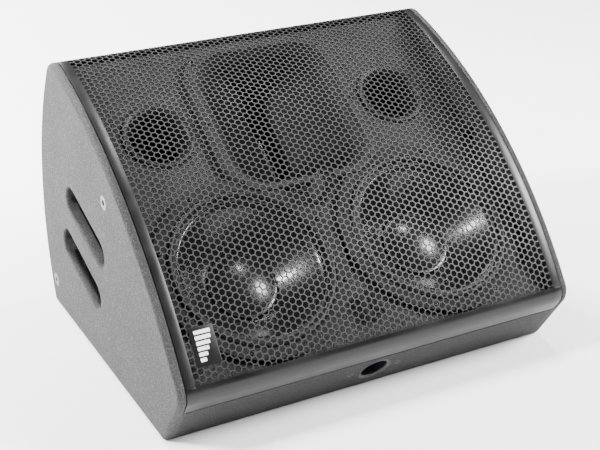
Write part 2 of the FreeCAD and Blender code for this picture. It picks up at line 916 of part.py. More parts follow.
def toward_back(x, y, z):
    return Placement(Vector(x, y, z), Rotation(Vector(1, 0, 0), -90))


dish_tools = [placed(Part.makeCylinder(num("socket_radius") + 0.3, 20.0),
                     toward_back(x, DISH_FLOOR - 10, DISH_UP)) for x in SOCKET_X]
dish_tools += [placed(pilot(DISH_SCREW[2], DISH_SCREW[3], 1.0), place) for place in dish_screw_places()]
keep(cut_object("connector_dish", dish_blank, dish_tools))

for label, x in (("input", SOCKET_X[0]), ("link", SOCKET_X[1])):
    shell_r = at.socket_radius
    keep(turned(label + "_socket", toward_back(x, DISH_FLOOR, DISH_UP), [
        (0, -at.socket_length), (shell_r, -at.socket_length), (shell_r, 0), (shell_r + 4, 0),
        (shell_r + 4, 3), (shell_r - 1.5, 3), (shell_r - 1.5, -16), (6, -16), (6, 1), (0, 1)]))

keep(solid_group("dish_screws", [placed(pan_head(*DISH_SCREW, 2.5), place)
                                 for place in dish_screw_places()]))

# ---------------------------------------------------------------- baffle and front

BAFFLE_BACK = num("baffle_recess") + num("baffle_thickness")
END_LEAN = CHORD[0] * APRON_IN[0] + CHORD[1] * APRON_IN[1]
DEEP_LEAN = CHORD_IN[0] * APRON_IN[0] + CHORD_IN[1] * APRON_IN[1]


def baffle_start():
    """Height up the baffle at which its square lower end clears the apron board."""
    needs = []
    for depth in (num("baffle_recess"), BAFFLE_BACK):
        needs.append((num("panel_thickness") - depth * DEEP_LEAN) / END_LEAN)
    return max(needs)


def baffle_end():
    """Height up the baffle at which its square upper end meets the rear board."""
    reach = []
    for depth in (num("baffle_recess"), BAFFLE_BACK):
        start = plus(NOSE, CHORD_IN, depth)
        away = plus(start, REAR_C, -1)
        along = away[0] * CHORD[0] + away[1] * CHORD[1]
        rest = away[0] ** 2 + away[1] ** 2 - (REAR_R - num("panel_thickness")) ** 2
        reach.append(-along + math.sqrt(along * along - rest))
    return min(reach)


BAFFLE_LOW = baffle_start()
BAFFLE_HIGH = baffle_end()


CUTOUT = at.woofer_radius - at.woofer_seat
COLLAR = at.port_radius + at.port_collar
MOUTH_WIDTH = num("horn_width") - 2 * num("flange_side")
MOUTH_HEIGHT = num("horn_height") - 2 * num("flange_end")
MOUTH_CORNER = num("horn_corner") - num("flange_corner")
SIDES = (("left", -1), ("right", 1))
RING_INNER = at.woofer_radius - at.ring_width
CONE_RADIUS = RING_INNER - at.surround_roll - at.running_gap
SCREW_RING = num("woofer_radius") - num("ring_width") / 2 + 0.5
WOOFER_SCREW = (3.6, 2.4, 2.2, 20.0)
HORN_SCREW = (3.4, 2.2, 2.2, 24.0)


def woofer_place(side):
    return on_baffle(side * num("woofer_offset"), num("woofer_up"))


def woofer_screw_places(side):
    """Eight screws round a woofer's rim, without the one that the horn's flange covers."""
    places = []
    for k in range(8):
        angle = math.radians(22.5 + 45 * k)
        x, y = SCREW_RING * math.cos(angle), SCREW_RING * math.sin(angle)
        beside = x * side < 0 and abs(x + side * num("woofer_offset")) < num("horn_width") / 2 - 8
        if beside and y + num("woofer_up") > num("horn_up") - num("horn_height") / 2:
            continue
        top = num("woofer_flange") + num("gasket_height")
        places.append(woofer_place(side).multiply(Placement(Vector(x, y, top), Rotation())))
    return places


def horn_screw_places():
    """Screws in the horn's flange: one near each corner and one at the middle of each long side."""
    x = num("horn_width") / 2 - num("flange_side") / 2 + 0.5
    y = num("horn_height") / 2 - num("flange_end") / 2 + 0.3
    corner = num("horn_corner") * (1 - math.sqrt(0.5)) * 0.86
    spots = [(sx * (x - corner), sy * (y - corner)) for sx in (-1, 1) for sy in (-1, 1)]
    spots += [(-x, 0.0), (x, 0.0)]
    horn_middle = on_baffle(0, num("horn_up"))
    return [horn_middle.multiply(Placement(Vector(a, b, num("horn_proud")), Rotation())) for a, b in spots]


def baffle():
    body = new_body("baffle_blank", on_baffle(0, 0))
    sketch = sketch_on(body, "XY_Plane", "baffle_outline")
    outline(sketch, [(-INNER, BAFFLE_LOW), (INNER, BAFFLE_LOW), (INNER, BAFFLE_HIGH), (-INNER, BAFFLE_HIGH)])
    pad(body, sketch, at.baffle_thickness, reverse=True)
    holes = sketch_on(body, "XY_Plane", "baffle_holes")
    for side in (-1, 1):
        circle(holes, (at.woofer_offset * side, at.woofer_up), CUTOUT)
        circle(holes, (at.port_offset * side, at.port_up), COLLAR + 0.2)
    mouth = rounded_rect(MOUTH_WIDTH - 4, MOUTH_HEIGHT - 4, MOUTH_CORNER)
    lifted = [("arc", p[1], p[2] + num("horn_up")) if p[0] == "arc" else (p[0], p[1] + num("horn_up"))
              for p in mouth]
    outline(holes, lifted)
    pocket(body, holes)
    return body


baffle_pilots = [placed(pilot(HORN_SCREW[2], HORN_SCREW[3]), place) for place in horn_screw_places()]
for label, side in SIDES:
    baffle_pilots += [placed(pilot(WOOFER_SCREW[2], WOOFER_SCREW[3]), place)
                      for place in woofer_screw_places(side)]
keep(cut_object("baffle_board", baffle(), baffle_pilots))


def sheet_grille():
    """The steel grille: one bent sheet from the apron, over the front, to the rear return."""
    low = num("apron_height") + num("flange_gap") * 0.5
    points = grille_band(0, num("grille_thickness"), low, num("top_return"))
    width = at.cabinet_width - at.lip_width * 2 - at.grille_gap * 2
    return board("grille_blank", points, width)


def grille_screw_tool(place):
    head, height, shank, length = GRILLE_SCREW
    return placed(sink(head, height, shank).fuse(pilot(shank, length)), place)


keep(cut_object("grille", sheet_grille(), [grille_screw_tool(p) for p in grille_screw_places()]))
keep(solid_group("grille_screws", [placed(countersunk(*GRILLE_SCREW, 2.5), p)
                                   for p in grille_screw_places()]))


def grille_place(x, up, proud=0.0):
    """Placement on the grille's face, a stretch of arc above the nose corner."""
    angle = bearing(FRONT_C, NOSE) - up / FRONT_R
    seat = polar(FRONT_C, FRONT_R + proud, angle)
    outward = Vector(0, math.cos(angle), math.sin(angle))
    return Placement(Vector(x, seat[0] + Y_SHIFT, seat[1]), Rotation(Vector(0, 0, 1), outward))


def badge():
    """A blank plate riveted to the grille's lower left corner."""
    x = -HALF + num("badge_inset")
    body = new_body("badge_plate", grille_place(x, num("badge_up"), 0.05))
    sketch = sketch_on(body, "XY_Plane", "badge_outline")
    outline(sketch, rounded_rect(num("badge_width"), num("badge_height"), 2.0))
    pad(body, sketch, at.badge_thickness)
    return body


keep(badge())

POSTS = ((233.0, 26.0), (59.0, 38.0))
POST_WIDTH = 16.0
POST_PAD = 3.0


def grille_room(up):
    """Room between the baffle's face and the grille's back, at a height up the baffle."""
    away = plus(plus(BAFFLE_ZERO, CHORD, up), FRONT_C, -1)
    along = -(away[0] * CHORD_IN[0] + away[1] * CHORD_IN[1])
    rest = away[0] ** 2 + away[1] ** 2 - (FRONT_R - num("grille_thickness")) ** 2
    return -along + math.sqrt(along * along - rest)


def prism(wire, height, place):
    return placed(Part.Face(wire).extrude(Vector(0, 0, height)), place)


post_blocks = []
post_pads = []
for up, length in POSTS:
    room = min(grille_room(up - length / 2), grille_room(up + length / 2)) - 0.3
    section = rect_wire(POST_WIDTH, length, 1.5, 0)
    post_blocks.append(prism(section, room - POST_PAD, on_baffle(0, up)))
    post_pads.append(prism(section, POST_PAD, on_baffle(0, up, room - POST_PAD)))
keep(solid_group("grille_posts", post_blocks))
keep(solid_group("grille_post_pads", post_pads))

# ---------------------------------------------------------------- woofers


def horn_prism(grow, low, high):
    wire = rect_wire(num("horn_width") + 2 * grow, num("horn_height") + 2 * grow,
                     num("horn_corner") + grow, 0)
    solid = Part.Face(wire).extrude(Vector(0, 0, high - low))
    return placed(solid, on_baffle(0, num("horn_up"), low))


WINDOW_HALF_ANGLE = math.radians(20)
WINDOW_RADIUS = 82.0
WINDOW_EDGE = 8.0


def basket(name, place):
    rim = at.woofer_radius
    lid = at.woofer_flange
    barrel = CUTOUT - 1
    inside = RING_INNER - 0.5
    deep = -at.plate_depth
    body = turned(name, place, [
        (inside, lid - 1), (inside, lid), (rim, lid), (rim, 0), (barrel, 0), (barrel, -20),
        (78, deep + 8), (78, deep), (40.5, deep), (40.5, deep + 3), (75, deep + 3),
        (75, deep + 9), (inside, -18.8)])
    cuts = sketch_on(body, "XY_Plane", name + "_windows")
    half = WINDOW_HALF_ANGLE
    inner, outer = WINDOW_RADIUS, number(barrel) - WINDOW_EDGE
    outline(cuts, [(inner * math.cos(half), -inner * math.sin(half)),
                   (outer * math.cos(half), -outer * math.sin(half)), ("arc", outer, 0.0),
                   (outer * math.cos(half), outer * math.sin(half)),
                   (inner * math.cos(half), inner * math.sin(half)), ("arc", inner, 0.0)])
    window = pocket(body, cuts)
    pattern = body.newObject("PartDesign::PolarPattern", name + "_six")
    pattern.Originals = [window]
    pattern.Axis = (cuts, ["N_Axis"])
    pattern.Angle = 360.0
    pattern.Occurrences = 6
    body.Tip = pattern
    return body


SPIDER_SKIN = 1.0
# Radius and height above the plate of each bend of the spider's cloth.
SPIDER_BENDS = ((46.0, 8.4), (53.0, 10.4), (60.0, 8.4), (67.0, 10.4), (74.6, 9.2))
SPIDER_NECK = 9.6
COIL_TO_SPIDER = 0.6


def spider_profile(coil, plate):
    """The corrugated cloth, from the coil's tube to the basket's seat and back above."""
    under = [(coil + COIL_TO_SPIDER, plate + SPIDER_NECK)]
    under += [(radius, plate + rise) for radius, rise in SPIDER_BENDS]
    return under + [(radius, height + SPIDER_SKIN) for radius, height in reversed(under)]


CONE_LIP = 2.4
CONE_FACE = 1.4
CAP_SKIN = 1.0


def surround(name, place):
    """The rubber half-roll between the cone's rim and the basket's ring."""
    base = at.woofer_flange
    outer = RING_INNER
    inner = CONE_RADIUS + at.running_gap
    middle = (number(outer) + number(inner)) / 2
    radius = (number(outer) - number(inner)) / 2
    crest = number(base) + radius
    return turned(name, place, [
        (inner, base), ("arc", middle, crest + 1.0), (outer, base + 0.6), (outer + 4, base + 0.6),
        (outer + 4, base), (outer - 1, base), ("arc", middle, crest), (inner + 1, base)])


def dome_middle(reach, drop):
    """Halfway point of a round dome's arc from its top to its rim: radius, and fall below the top."""
    radius = (reach * reach + drop * drop) / (2 * drop)
    half = reach / 2
    return half, radius - math.sqrt(radius * radius - half * half)


def dust_cap_profile():
    """The dome glued to the cone's face at the cap's radius."""
    rim = num("cap_radius")
    rise = num("cap_height")
    climb = num("neck_depth") - CONE_FACE + num("cone_rim")
    run = number(CONE_RADIUS) - CONE_LIP - num("coil_radius")
    seat = CONE_FACE - num("neck_depth") + climb * (rim - num("coil_radius")) / run
    half, fall = dome_middle(rim, rise - CAP_SKIN)
    top = seat + rise
    return [(0, top), ("arc", half, top - fall), (rim, seat + CAP_SKIN), (rim, seat),
            ("arc", half, top - fall - CAP_SKIN), (0, top - CAP_SKIN)]


def woofer_bores(side):
    """Bores of a woofer's screws through its flange and gasket."""
    return [placed(pilot(WOOFER_SCREW[2], WOOFER_SCREW[3], 1.0), place)
            for place in woofer_screw_places(side)]


for label, side in SIDES:
    stem = "woofer_%s_" % label
    place = woofer_place(side)
    horn_edge = [horn_prism(0.5, -0.5, 30.0)]
    tools = horn_edge + woofer_bores(side)
    keep(cut_object(stem + "basket", basket(stem + "basket_blank", place), tools))
    keep(cut_object(stem + "surround", surround(stem + "surround_blank", place), horn_edge))
    lid = at.woofer_flange
    gasket = ring(stem + "gasket_blank", place, RING_INNER + 0.2, at.woofer_radius - 0.5,
                  lid + 0.6, lid + at.gasket_height)
    keep(cut_object(stem + "gasket", gasket, tools))
    rim, neck = CONE_RADIUS, at.coil_radius
    keep(turned(stem + "cone", place, [
        (neck, -at.neck_depth), (rim - 2, at.cone_rim - 1.2), (rim, at.cone_rim - 1.2),
        (rim, at.cone_rim), (rim - CONE_LIP, at.cone_rim), (neck, -at.neck_depth + CONE_FACE)]))
    keep(turned(stem + "dust_cap", place, dust_cap_profile()))
    coil = at.coil_radius
    plate = -at.plate_depth
    bottom = plate - at.plate_thickness - at.magnet_height
    keep(turned(stem + "voice_coil", place, [
        (coil - 0.6, -at.neck_depth - 0.2), (coil, -at.neck_depth - 0.2), (coil, plate - 6),
        (coil + 0.9, plate - 6), (coil + 0.9, bottom + 7.5), (coil - 0.6, bottom + 7.5)]))
    keep(turned(stem + "spider", place, spider_profile(coil, plate)))
    keep(ring(stem + "top_plate", place, coil + 2.2, at.magnet_radius - 5, plate - at.plate_thickness, plate))
    keep(ring(stem + "magnet", place, coil + 8, at.magnet_radius, bottom, plate - at.plate_thickness))
    keep(turned(stem + "yoke", place, [
        (0, bottom - 8), (at.magnet_radius - 5, bottom - 8), (at.magnet_radius - 5, bottom),
        (coil - 1.7, bottom), (coil - 1.7, plate), (0, plate)]))
    keep(solid_group(stem + "screws", [placed(pan_head(*WOOFER_SCREW, 3.0), spot)
                                       for spot in woofer_screw_places(side)]))

# ---------------------------------------------------------------- horn and driver

HORN = on_baffle(0, num("horn_up"))
HORN_STEPS = ((0.0, 1.0), (0.30, 0.72), (0.62, 0.40), (1.0, 0.0))


def horn_loft(grow, front, tail):
    """The flare, from the mouth at a level in front of the baffle down to the throat."""
    wires = []
    throat = 2 * (num("throat_radius") + grow)
    for share, open_share in HORN_STEPS:
        width = throat + (MOUTH_WIDTH + 2 * grow - throat) * open_share
        height = throat + (MOUTH_HEIGHT + 2 * grow - throat) * open_share
        spare = min(width, height) / 2
        corner = spare - 0.5 if share == 1.0 else min(spare - 0.5, MOUTH_CORNER + grow)
        level = front - (front + tail) * share
        wires.append(rect_wire(width, height, corner, level))
    return Part.makeLoft(wires, True, False)


def horn():
    proud = num("horn_proud")
    plate = Part.Face(rect_wire(num("horn_width"), num("horn_height"), num("horn_corner"), 0))
    plate = plate.extrude(Vector(0, 0, proud))
    rims = [e for e in plate.Edges if e.BoundBox.ZMin > proud - 0.01]
    plate = plate.makeFillet(proud * 0.5, rims)
    shell = horn_loft(num("horn_wall"), -0.2, num("horn_depth"))
    solid = plate.fuse(shell)
    hub = Part.makeCylinder(num("driver_radius") - 12, 8.0, Vector(0, 0, -num("horn_depth")))
    solid = solid.fuse(hub)
    air = horn_loft(0.0, proud + 0.5, num("horn_depth"))
    bore = Part.makeCylinder(num("throat_radius"), 4.0, Vector(0, 0, -num("horn_depth") - 2))
    solid = solid.cut(air).cut(bore)
    for place in horn_screw_places():
        hole = placed(pilot(HORN_SCREW[2], HORN_SCREW[3], 1.0), HORN.inverse().multiply(place))
        solid = solid.cut(hole)
    return solid


horn_piece = keep(doc.addObject("Part::Feature", "horn"))
horn_piece.Shape = horn()
horn_piece.Placement = HORN
keep(solid_group("horn_screws", [placed(pan_head(*HORN_SCREW, 2.5), place)
                                 for place in horn_screw_places()]))

DRIVER = on_baffle(0, num("horn_up"), -num("horn_depth"))
body_r = at.driver_radius
keep(turned("driver_top_plate", DRIVER, [
    (at.throat_radius, 0), (at.throat_radius, -8), (27, -10), (27, -14), (body_r, -14), (body_r, 0)]))
keep(ring("driver_magnet", DRIVER, 34, body_r - 2, -34, -14))
keep(turned("driver_yoke", DRIVER, [
    (0, -44), (body_r, -44), (body_r, -34), (24.6, -34), (24.6, -16.5), (0, -16.5)]))


def phase_plug():
    """The plug in front of the diaphragm, held in the throat by three thin webs."""
    half = [Vector(0, 0, -7.0), Vector(12.5, 0, -9.2), Vector(13.5, 0, -8.0), Vector(8, 0, 0), Vector(0, 0, 6)]
    face = Part.Face(Part.makePolygon(half + half[:1]))
    plug = face.revolve(Vector(), Vector(0, 0, 1), 360)
    reach = num("throat_radius")
    for k in range(3):
        web = Part.makeBox(reach - 6, 1.2, 4.0, Vector(6, -0.6, -6))
        web.rotate(Vector(), Vector(0, 0, 1), 120 * k)
        plug = plug.fuse(web)
    rim = Part.makeCylinder(reach, 30, Vector(0, 0, -15))
    return plug.common(rim)


plug_piece = keep(doc.addObject("Part::Feature", "driver_phase_plug"))
plug_piece.Shape = phase_plug()
plug_piece.Placement = DRIVER


def diaphragm_profile():
    """The titanium dome with its flat rim and its short voice coil."""
    reach, drop, skin = 17.2, 5.2, 0.6
    top = -8.4
    half, fall = dome_middle(reach, drop)
    return [(0, top - skin), ("arc", half, top - skin - fall), (reach, top - skin - drop), (25.2, -14.4),
            (25.2, -20), (25.8, -20), (25.8, -13.6), (reach, top - drop), ("arc", half, top - fall), (0, top)]


keep(turned("driver_diaphragm", DRIVER, diaphragm_profile()))
keep(turned("driver_rear_cap", DRIVER, [
    (0, -num("driver_height") - 12), (body_r - 8, -num("driver_height") - 12), (body_r - 4, -44.0),
    (body_r - 8, -44.0), (body_r - 11, -num("driver_height") - 9), (0, -num("driver_height") - 9)]))

# ---------------------------------------------------------------- ports

FLARE_EDGE = 4.0


def port_flare():
    """Middle of the flare's arc, which leaves the bore straight and turns out to the flange."""
    reach = num("port_rim") - FLARE_EDGE
    rise = num("port_flare") + FLARE_EDGE
    radius = (reach * reach + rise * rise) / (2 * reach)
    turn = math.asin(rise / radius) / 2
    return (num("port_radius") + radius * (1 - math.cos(turn)), -num("port_flare") + radius * math.sin(turn))


for label, side in SIDES:
    place = on_baffle(side * num("port_offset"), num("port_up"))
    bore, wall, flange = at.port_radius, at.port_wall, at.port_radius + at.port_rim
    flare = port_flare()
    taper = -at.port_flare - 4
    keep(turned("port_tube_" + label, place, [
        (bore, -at.port_length), (bore + wall, -at.port_length), (bore + wall, taper),
        (COLLAR, taper + 6), (COLLAR, 0), (flange, 0), (flange, 2),
        (flange - 2, FLARE_EDGE), (flange - FLARE_EDGE, FLARE_EDGE),
        ("arc", flare[0], flare[1]), (bore, -at.port_flare)]))

# ---------------------------------------------------------------- handles, pole socket


def handle_cup(label, side):
    """A moulded tub behind a side panel's two finger slots."""
    margin = num("cup_margin")
    length = num("slot_length") + 2 * margin
    height = num("slot_spacing") + num("slot_width") + 2 * margin
    wall = num("cup_wall")
    flange = Part.Face(rect_wire(length + 24, height + 24, 26, 0)).extrude(Vector(0, 0, wall))
    tub = Part.Face(rect_wire(length + 2 * wall, height + 2 * wall, 20 + wall, 0))
    tub = tub.extrude(Vector(0, 0, num("cup_depth")))
    rims = [e for e in tub.Edges if e.BoundBox.ZMin > num("cup_depth") - 0.01]
    tub = tub.makeFillet(12.0, rims)
    hollow = Part.Face(rect_wire(length, height, 20, -1)).extrude(Vector(0, 0, num("cup_depth") - wall + 1))
    rims = [e for e in hollow.Edges if e.BoundBox.ZMin > num("cup_depth") - wall - 0.01]
    hollow = hollow.makeFillet(9.0, rims)
    solid = flange.fuse(tub).cut(hollow)
    for x, y in cup_screw_spots():
        solid = solid.cut(Part.makeCylinder(CUP_SCREW_SHANK + 0.3, 4 * wall, Vector(x, y, -wall)))
    piece = keep(doc.addObject("Part::Feature", "handle_cup_" + label))
    piece.Shape = solid
    piece.Placement = cup_place(side)


cup_screw = pan_head(3.2, 2.0, CUP_SCREW_SHANK, CUP_SCREW_LENGTH, 2.2)
cup_screws = []
for label, side in SIDES:
    handle_cup(label, side)
    cup_screws += [placed(cup_screw, place) for place in cup_screw_places(side)]
keep(solid_group("handle_screws", cup_screws))

rig_screw = countersunk(num("rig_head_radius"), RIG_HEAD_HEIGHT, num("rig_screw_radius"),
                        num("rig_screw_length"), 6.0)
rig_bore = Part.makeCylinder(num("rig_screw_radius") + 0.05, 18.0)
rig_nut = Part.makeCylinder(num("rig_screw_radius") + 2.2, 18.0).cut(rig_bore)
rig_screws = []
rig_nuts = []
for side in (-1, 1):
    for point in RIG_POINTS:
        outward = Rotation(Vector(0, 0, 1), Vector(side, 0, 0))
        inward = Rotation(Vector(0, 0, 1), Vector(-side, 0, 0))
        seat = Vector(side * HALF, point[0] + Y_SHIFT, point[1])
        back = Vector(side * INNER, point[0] + Y_SHIFT, point[1])
        rig_screws.append(placed(rig_screw, Placement(seat, outward)))
        rig_nuts.append(placed(rig_nut, Placement(back, inward)))
keep(solid_group("rigging_screws", rig_screws))
keep(solid_group("rigging_nuts", rig_nuts))

POLE_FACE = apron_place(num("pole_up"), 0)
thick = at.panel_thickness
pole_rim = at.pole_radius + at.pole_lip
ear = at.pole_screw_offset + 10
pole_blank = turned("pole_socket_blank", POLE_FACE, [
    (at.pole_radius, -at.pole_depth), (at.pole_radius, -2), (at.pole_radius + 2, 0), (pole_rim, 0),
    (pole_rim, -thick), (ear, -thick), (ear, -thick - 3), (at.pole_radius + 3, -thick - 3),
    (at.pole_radius + 3, -at.pole_depth - 3), (0, -at.pole_depth - 3), (0, -at.pole_depth)])


def pole_socket_tools():
    """Trims the socket's flange to two ears, and bores each ear for its screw."""
    reach = 2 * number(ear)
    flat = number(pole_rim) + 1
    back = -num("panel_thickness") - 5
    tools = [placed(Part.makeBox(reach, reach, 6, Vector(-reach / 2, y, back)), POLE_FACE)
             for y in (flat, -flat - reach)]
    bores = [placed(pilot(POLE_SCREW[2], POLE_SCREW[3]), place) for place in pole_screw_places()]
    return tools + bores


keep(cut_object("pole_socket", pole_blank, pole_socket_tools()))
keep(solid_group("pole_screws", [placed(countersunk(*POLE_SCREW, 3.0), place)
                                 for place in pole_screw_places()]))

# ---------------------------------------------------------------- inside


def brace_board():
    """The brace on the cabinet's middle plane, from the bottom board to the baffle's back."""
    low = num("woofer_up")
    high = num("horn_up") - num("horn_height") / 2 - 10
    back = plus(NOSE, CHORD_IN, BAFFLE_BACK)
    floor = num("panel_thickness")
    near = plus(back, CHORD, low)
    far = plus(back, CHORD, high)
    return [(near[0], floor), (far[0] + 78, floor), far, near]


brace = keep(board("cabinet_brace", brace_board(), at.panel_thickness))

FLOOR = num("panel_thickness")
BOARD = (150.0, 110.0)
BOARD_CORNER = (INNER - 205.0, FLOOR_REAR[0] - 166.0)
SPACER = 4.0


def crossover_board():
    """The printed board of the crossover on its four spacers."""
    rise = num("board_rise")
    corner = Vector(BOARD_CORNER[0], BOARD_CORNER[1] + Y_SHIFT, FLOOR)
    solid = Part.makeBox(BOARD[0], BOARD[1], num("board_thickness"), corner + Vector(0, 0, rise))
    for x in (SPACER + 2, BOARD[0] - SPACER - 2):
        for y in (SPACER + 2, BOARD[1] - SPACER - 2):
            solid = solid.fuse(Part.makeCylinder(SPACER, rise, corner + Vector(x, y, 0)))
    return solid


board_piece = keep(doc.addObject("Part::Feature", "crossover_board"))
board_piece.Shape = crossover_board()


def coil(radius, height):
    return Part.makeCylinder(radius, height).cut(Part.makeCylinder(radius * 0.45, height))


def on_board(x, y, lift=0.0):
    top = FLOOR + num("board_rise") + num("board_thickness") + lift
    return Placement(Vector(BOARD_CORNER[0] + x, BOARD_CORNER[1] + y + Y_SHIFT, top), Rotation())


COILS = ((24.0, 24.0, 32.0, 34.0), (20.0, 20.0, 90.0, 30.0), (15.0, 18.0, 126.0, 82.0))
keep(solid_group("crossover_coils", [placed(coil(radius, height), on_board(x, y))
                                     for radius, height, x, y in COILS]))


def capacitors():
    """Three capacitors that lie side by side on the board."""
    radius = 6.0
    can = Part.makeCylinder(radius, 40.0)
    can.rotate(Vector(), Vector(0, 1, 0), 90)
    cans = []
    for k in range(3):
        lying = can.copy()
        lying.translate(on_board(14.0, 68.0 + (2 * radius + 1) * k, radius).Base)
        cans.append(lying)
    return cans


keep(solid_group("crossover_capacitors", capacitors()))
wadding_corner = Vector(-INNER + 53, FLOOR_REAR[0] - 196 + Y_SHIFT, FLOOR)
wadding = keep(block("damping_wadding", 200.0, 150.0, at.wadding_height, wadding_corner))
wadding.Label = "damping_wadding"

# ---------------------------------------------------------------- check and write


def report_bad():
    for item in doc.Objects:
        states = [s for s in item.State if s in ("Invalid", "Error")]
        if states:
            raise RuntimeError("%s is %s" % (item.Name, states))


doc.recompute()
report_bad()
os.makedirs("parts", exist_ok=True)
for item in kept:
    shape = item.Shape
    if shape.isNull() or not shape.isValid():
        raise RuntimeError("%s has no valid shape" % item.Label)
    shape.exportStep("parts/%s.step" % item.Label)
    print("%-26s solids %2d volume %10.1f" % (item.Label, len(shape.Solids), shape.Volume))
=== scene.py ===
import json
import math

import bpy
from mathutils import Matrix, Vector


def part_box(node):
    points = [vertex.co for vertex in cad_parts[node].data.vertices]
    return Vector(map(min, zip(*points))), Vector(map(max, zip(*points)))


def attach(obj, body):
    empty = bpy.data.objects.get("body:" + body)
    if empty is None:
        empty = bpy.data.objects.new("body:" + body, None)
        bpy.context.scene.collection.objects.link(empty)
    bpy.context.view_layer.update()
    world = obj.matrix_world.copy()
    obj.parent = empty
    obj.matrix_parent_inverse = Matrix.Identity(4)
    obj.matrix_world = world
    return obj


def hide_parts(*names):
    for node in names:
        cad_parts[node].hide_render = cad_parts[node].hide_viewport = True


# A stage monitor wedge: a painted plywood cabinet behind a curved sheet of perforated steel,
# with two glossy woofers, a horn and two bass ports showing through the holes.
# Metres, X to the right, Y to the back, Z up. The front faces -Y.

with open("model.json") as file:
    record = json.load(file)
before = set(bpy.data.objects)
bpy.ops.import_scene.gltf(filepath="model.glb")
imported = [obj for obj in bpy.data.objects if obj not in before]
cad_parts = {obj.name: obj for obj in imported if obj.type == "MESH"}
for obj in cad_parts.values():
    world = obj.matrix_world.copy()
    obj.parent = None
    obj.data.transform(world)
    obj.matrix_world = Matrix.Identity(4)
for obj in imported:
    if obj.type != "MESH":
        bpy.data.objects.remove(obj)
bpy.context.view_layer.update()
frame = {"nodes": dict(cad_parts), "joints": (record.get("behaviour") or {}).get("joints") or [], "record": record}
NODES = frame["nodes"]
JOINTS = {joint["name"]: joint for joint in frame["joints"]}
MOUNTS = {mount["name"]: mount for mount in frame["record"]["mounts"]}
ROOT = "cabinet"
MM = 0.001
FULL_TURN = 2 * math.pi

# ------------------------------------------------------------------ places, from the frame


def axes(origin, across, up, out):
    """A matrix that places local X, Y, Z along the three directions, from an origin."""
    turn = Matrix((across, up, out)).transposed().to_4x4()
    return Matrix.Translation(origin) @ turn


def box_round(points):
    """The lowest and highest corners of the box round some points."""
    low = Vector([min(point[k] for point in points) for k in range(3)])
    high = Vector([max(point[k] for point in points) for k in range(3)])
    return low, high


def local_box(node, place):
    """A node's lowest and highest corners, measured in a tilted set of axes."""
    inverse = place.inverted()
    return box_round([inverse @ vertex.co for vertex in NODES[node].data.vertices])


ACROSS = Vector((1, 0, 0))
NORMAL = Vector(JOINTS["woofer_left_travel"]["axis"]).normalized()
UP = NORMAL.cross(ACROSS)
LEFT_CENTRE = Vector(JOINTS["woofer_left_travel"]["pos_m"])
RIGHT_CENTRE = Vector(JOINTS["woofer_right_travel"]["pos_m"])
BAFFLE = axes((LEFT_CENTRE + RIGHT_CENTRE) / 2, ACROSS, UP, NORMAL)
WOOFERS = {
    "left": axes(LEFT_CENTRE, ACROSS, UP, NORMAL),
    "right": axes(RIGHT_CENTRE, ACROSS, UP, NORMAL),
}
APRON_OUT = Vector(MOUNTS["pole_socket"]["axis"]).normalized()


def islands(node):
    """The loose solids of a node, each as a list of its corners."""
    mesh = NODES[node].data
    groups = {}
    parent = {}

    def key(point):
        return tuple(round(c * 1e6) for c in point)

    def root(item):
        while parent[item] != item:
            parent[item] = parent[parent[item]]
            item = parent[item]
        return item

    keys = [key(vertex.co) for vertex in mesh.vertices]
    for item in keys:
        parent.setdefault(item, item)
    for face in mesh.polygons:
        first = root(keys[face.vertices[0]])
        for index in face.vertices[1:]:
            parent[root(keys[index])] = first
    for index, item in enumerate(keys):
        groups.setdefault(root(item), []).append(mesh.vertices[index].co.copy())
    return list(groups.values())


# ------------------------------------------------------------------ the cabinet's side outline
# Plane points are (y, z). The arcs are the ones that the steel front is bent to.

NOSE_REACH, NOSE_HEIGHT = 0.057, 0.0885
TOP_BACK, TOP_HEIGHT = 0.362, 0.3915
FLOOR_DEPTH = 0.411
FRONT_BULGE, REAR_BULGE = 0.049, 0.047
NOSE_ROUND, TOP_ROUND = 0.024, 0.030
REAR_SWEEP = 0.5


def turned_from(point, radius, angle):
    return Vector((point[0] + radius * math.cos(angle), point[1] + radius * math.sin(angle)))


def bearing(centre, point):
    return math.atan2(point[1] - centre[1], point[0] - centre[0])


def bulging_arc(start, end, bulge, inside):
    """Centre and radius of the arc over a chord that bulges away from a point inside."""
    chord = end - start
    half = chord.length / 2
    radius = (half * half + bulge * bulge) / (2 * bulge)
    square = Vector((-chord.y, chord.x)).normalized()
    if square.dot(inside - (start + end) / 2) < 0:
        square = -square
    return (start + end) / 2 + square * (radius - bulge), radius


def between_circles(first, reach, second, other, near):
    """The point at two given distances from two centres, nearest to a third point."""
    line = second - first
    along = (reach * reach - other * other + line.length_squared) / (2 * line.length)
    off = math.sqrt(reach * reach - along * along)
    foot = first + line.normalized() * along
    square = Vector((-line.y, line.x)).normalized() * off
    return min((foot + square, foot - square), key=lambda p: (p - near).length)


def touching_line(line_in, line_along, centre, reach, inset):
    """The centre of a rounding that touches a line through zero and a large arc."""
    base = line_in * inset
    away = base - centre
    along = away.dot(line_along)
    return base + line_along * (-along + math.sqrt(along * along - away.length_squared + reach * reach))


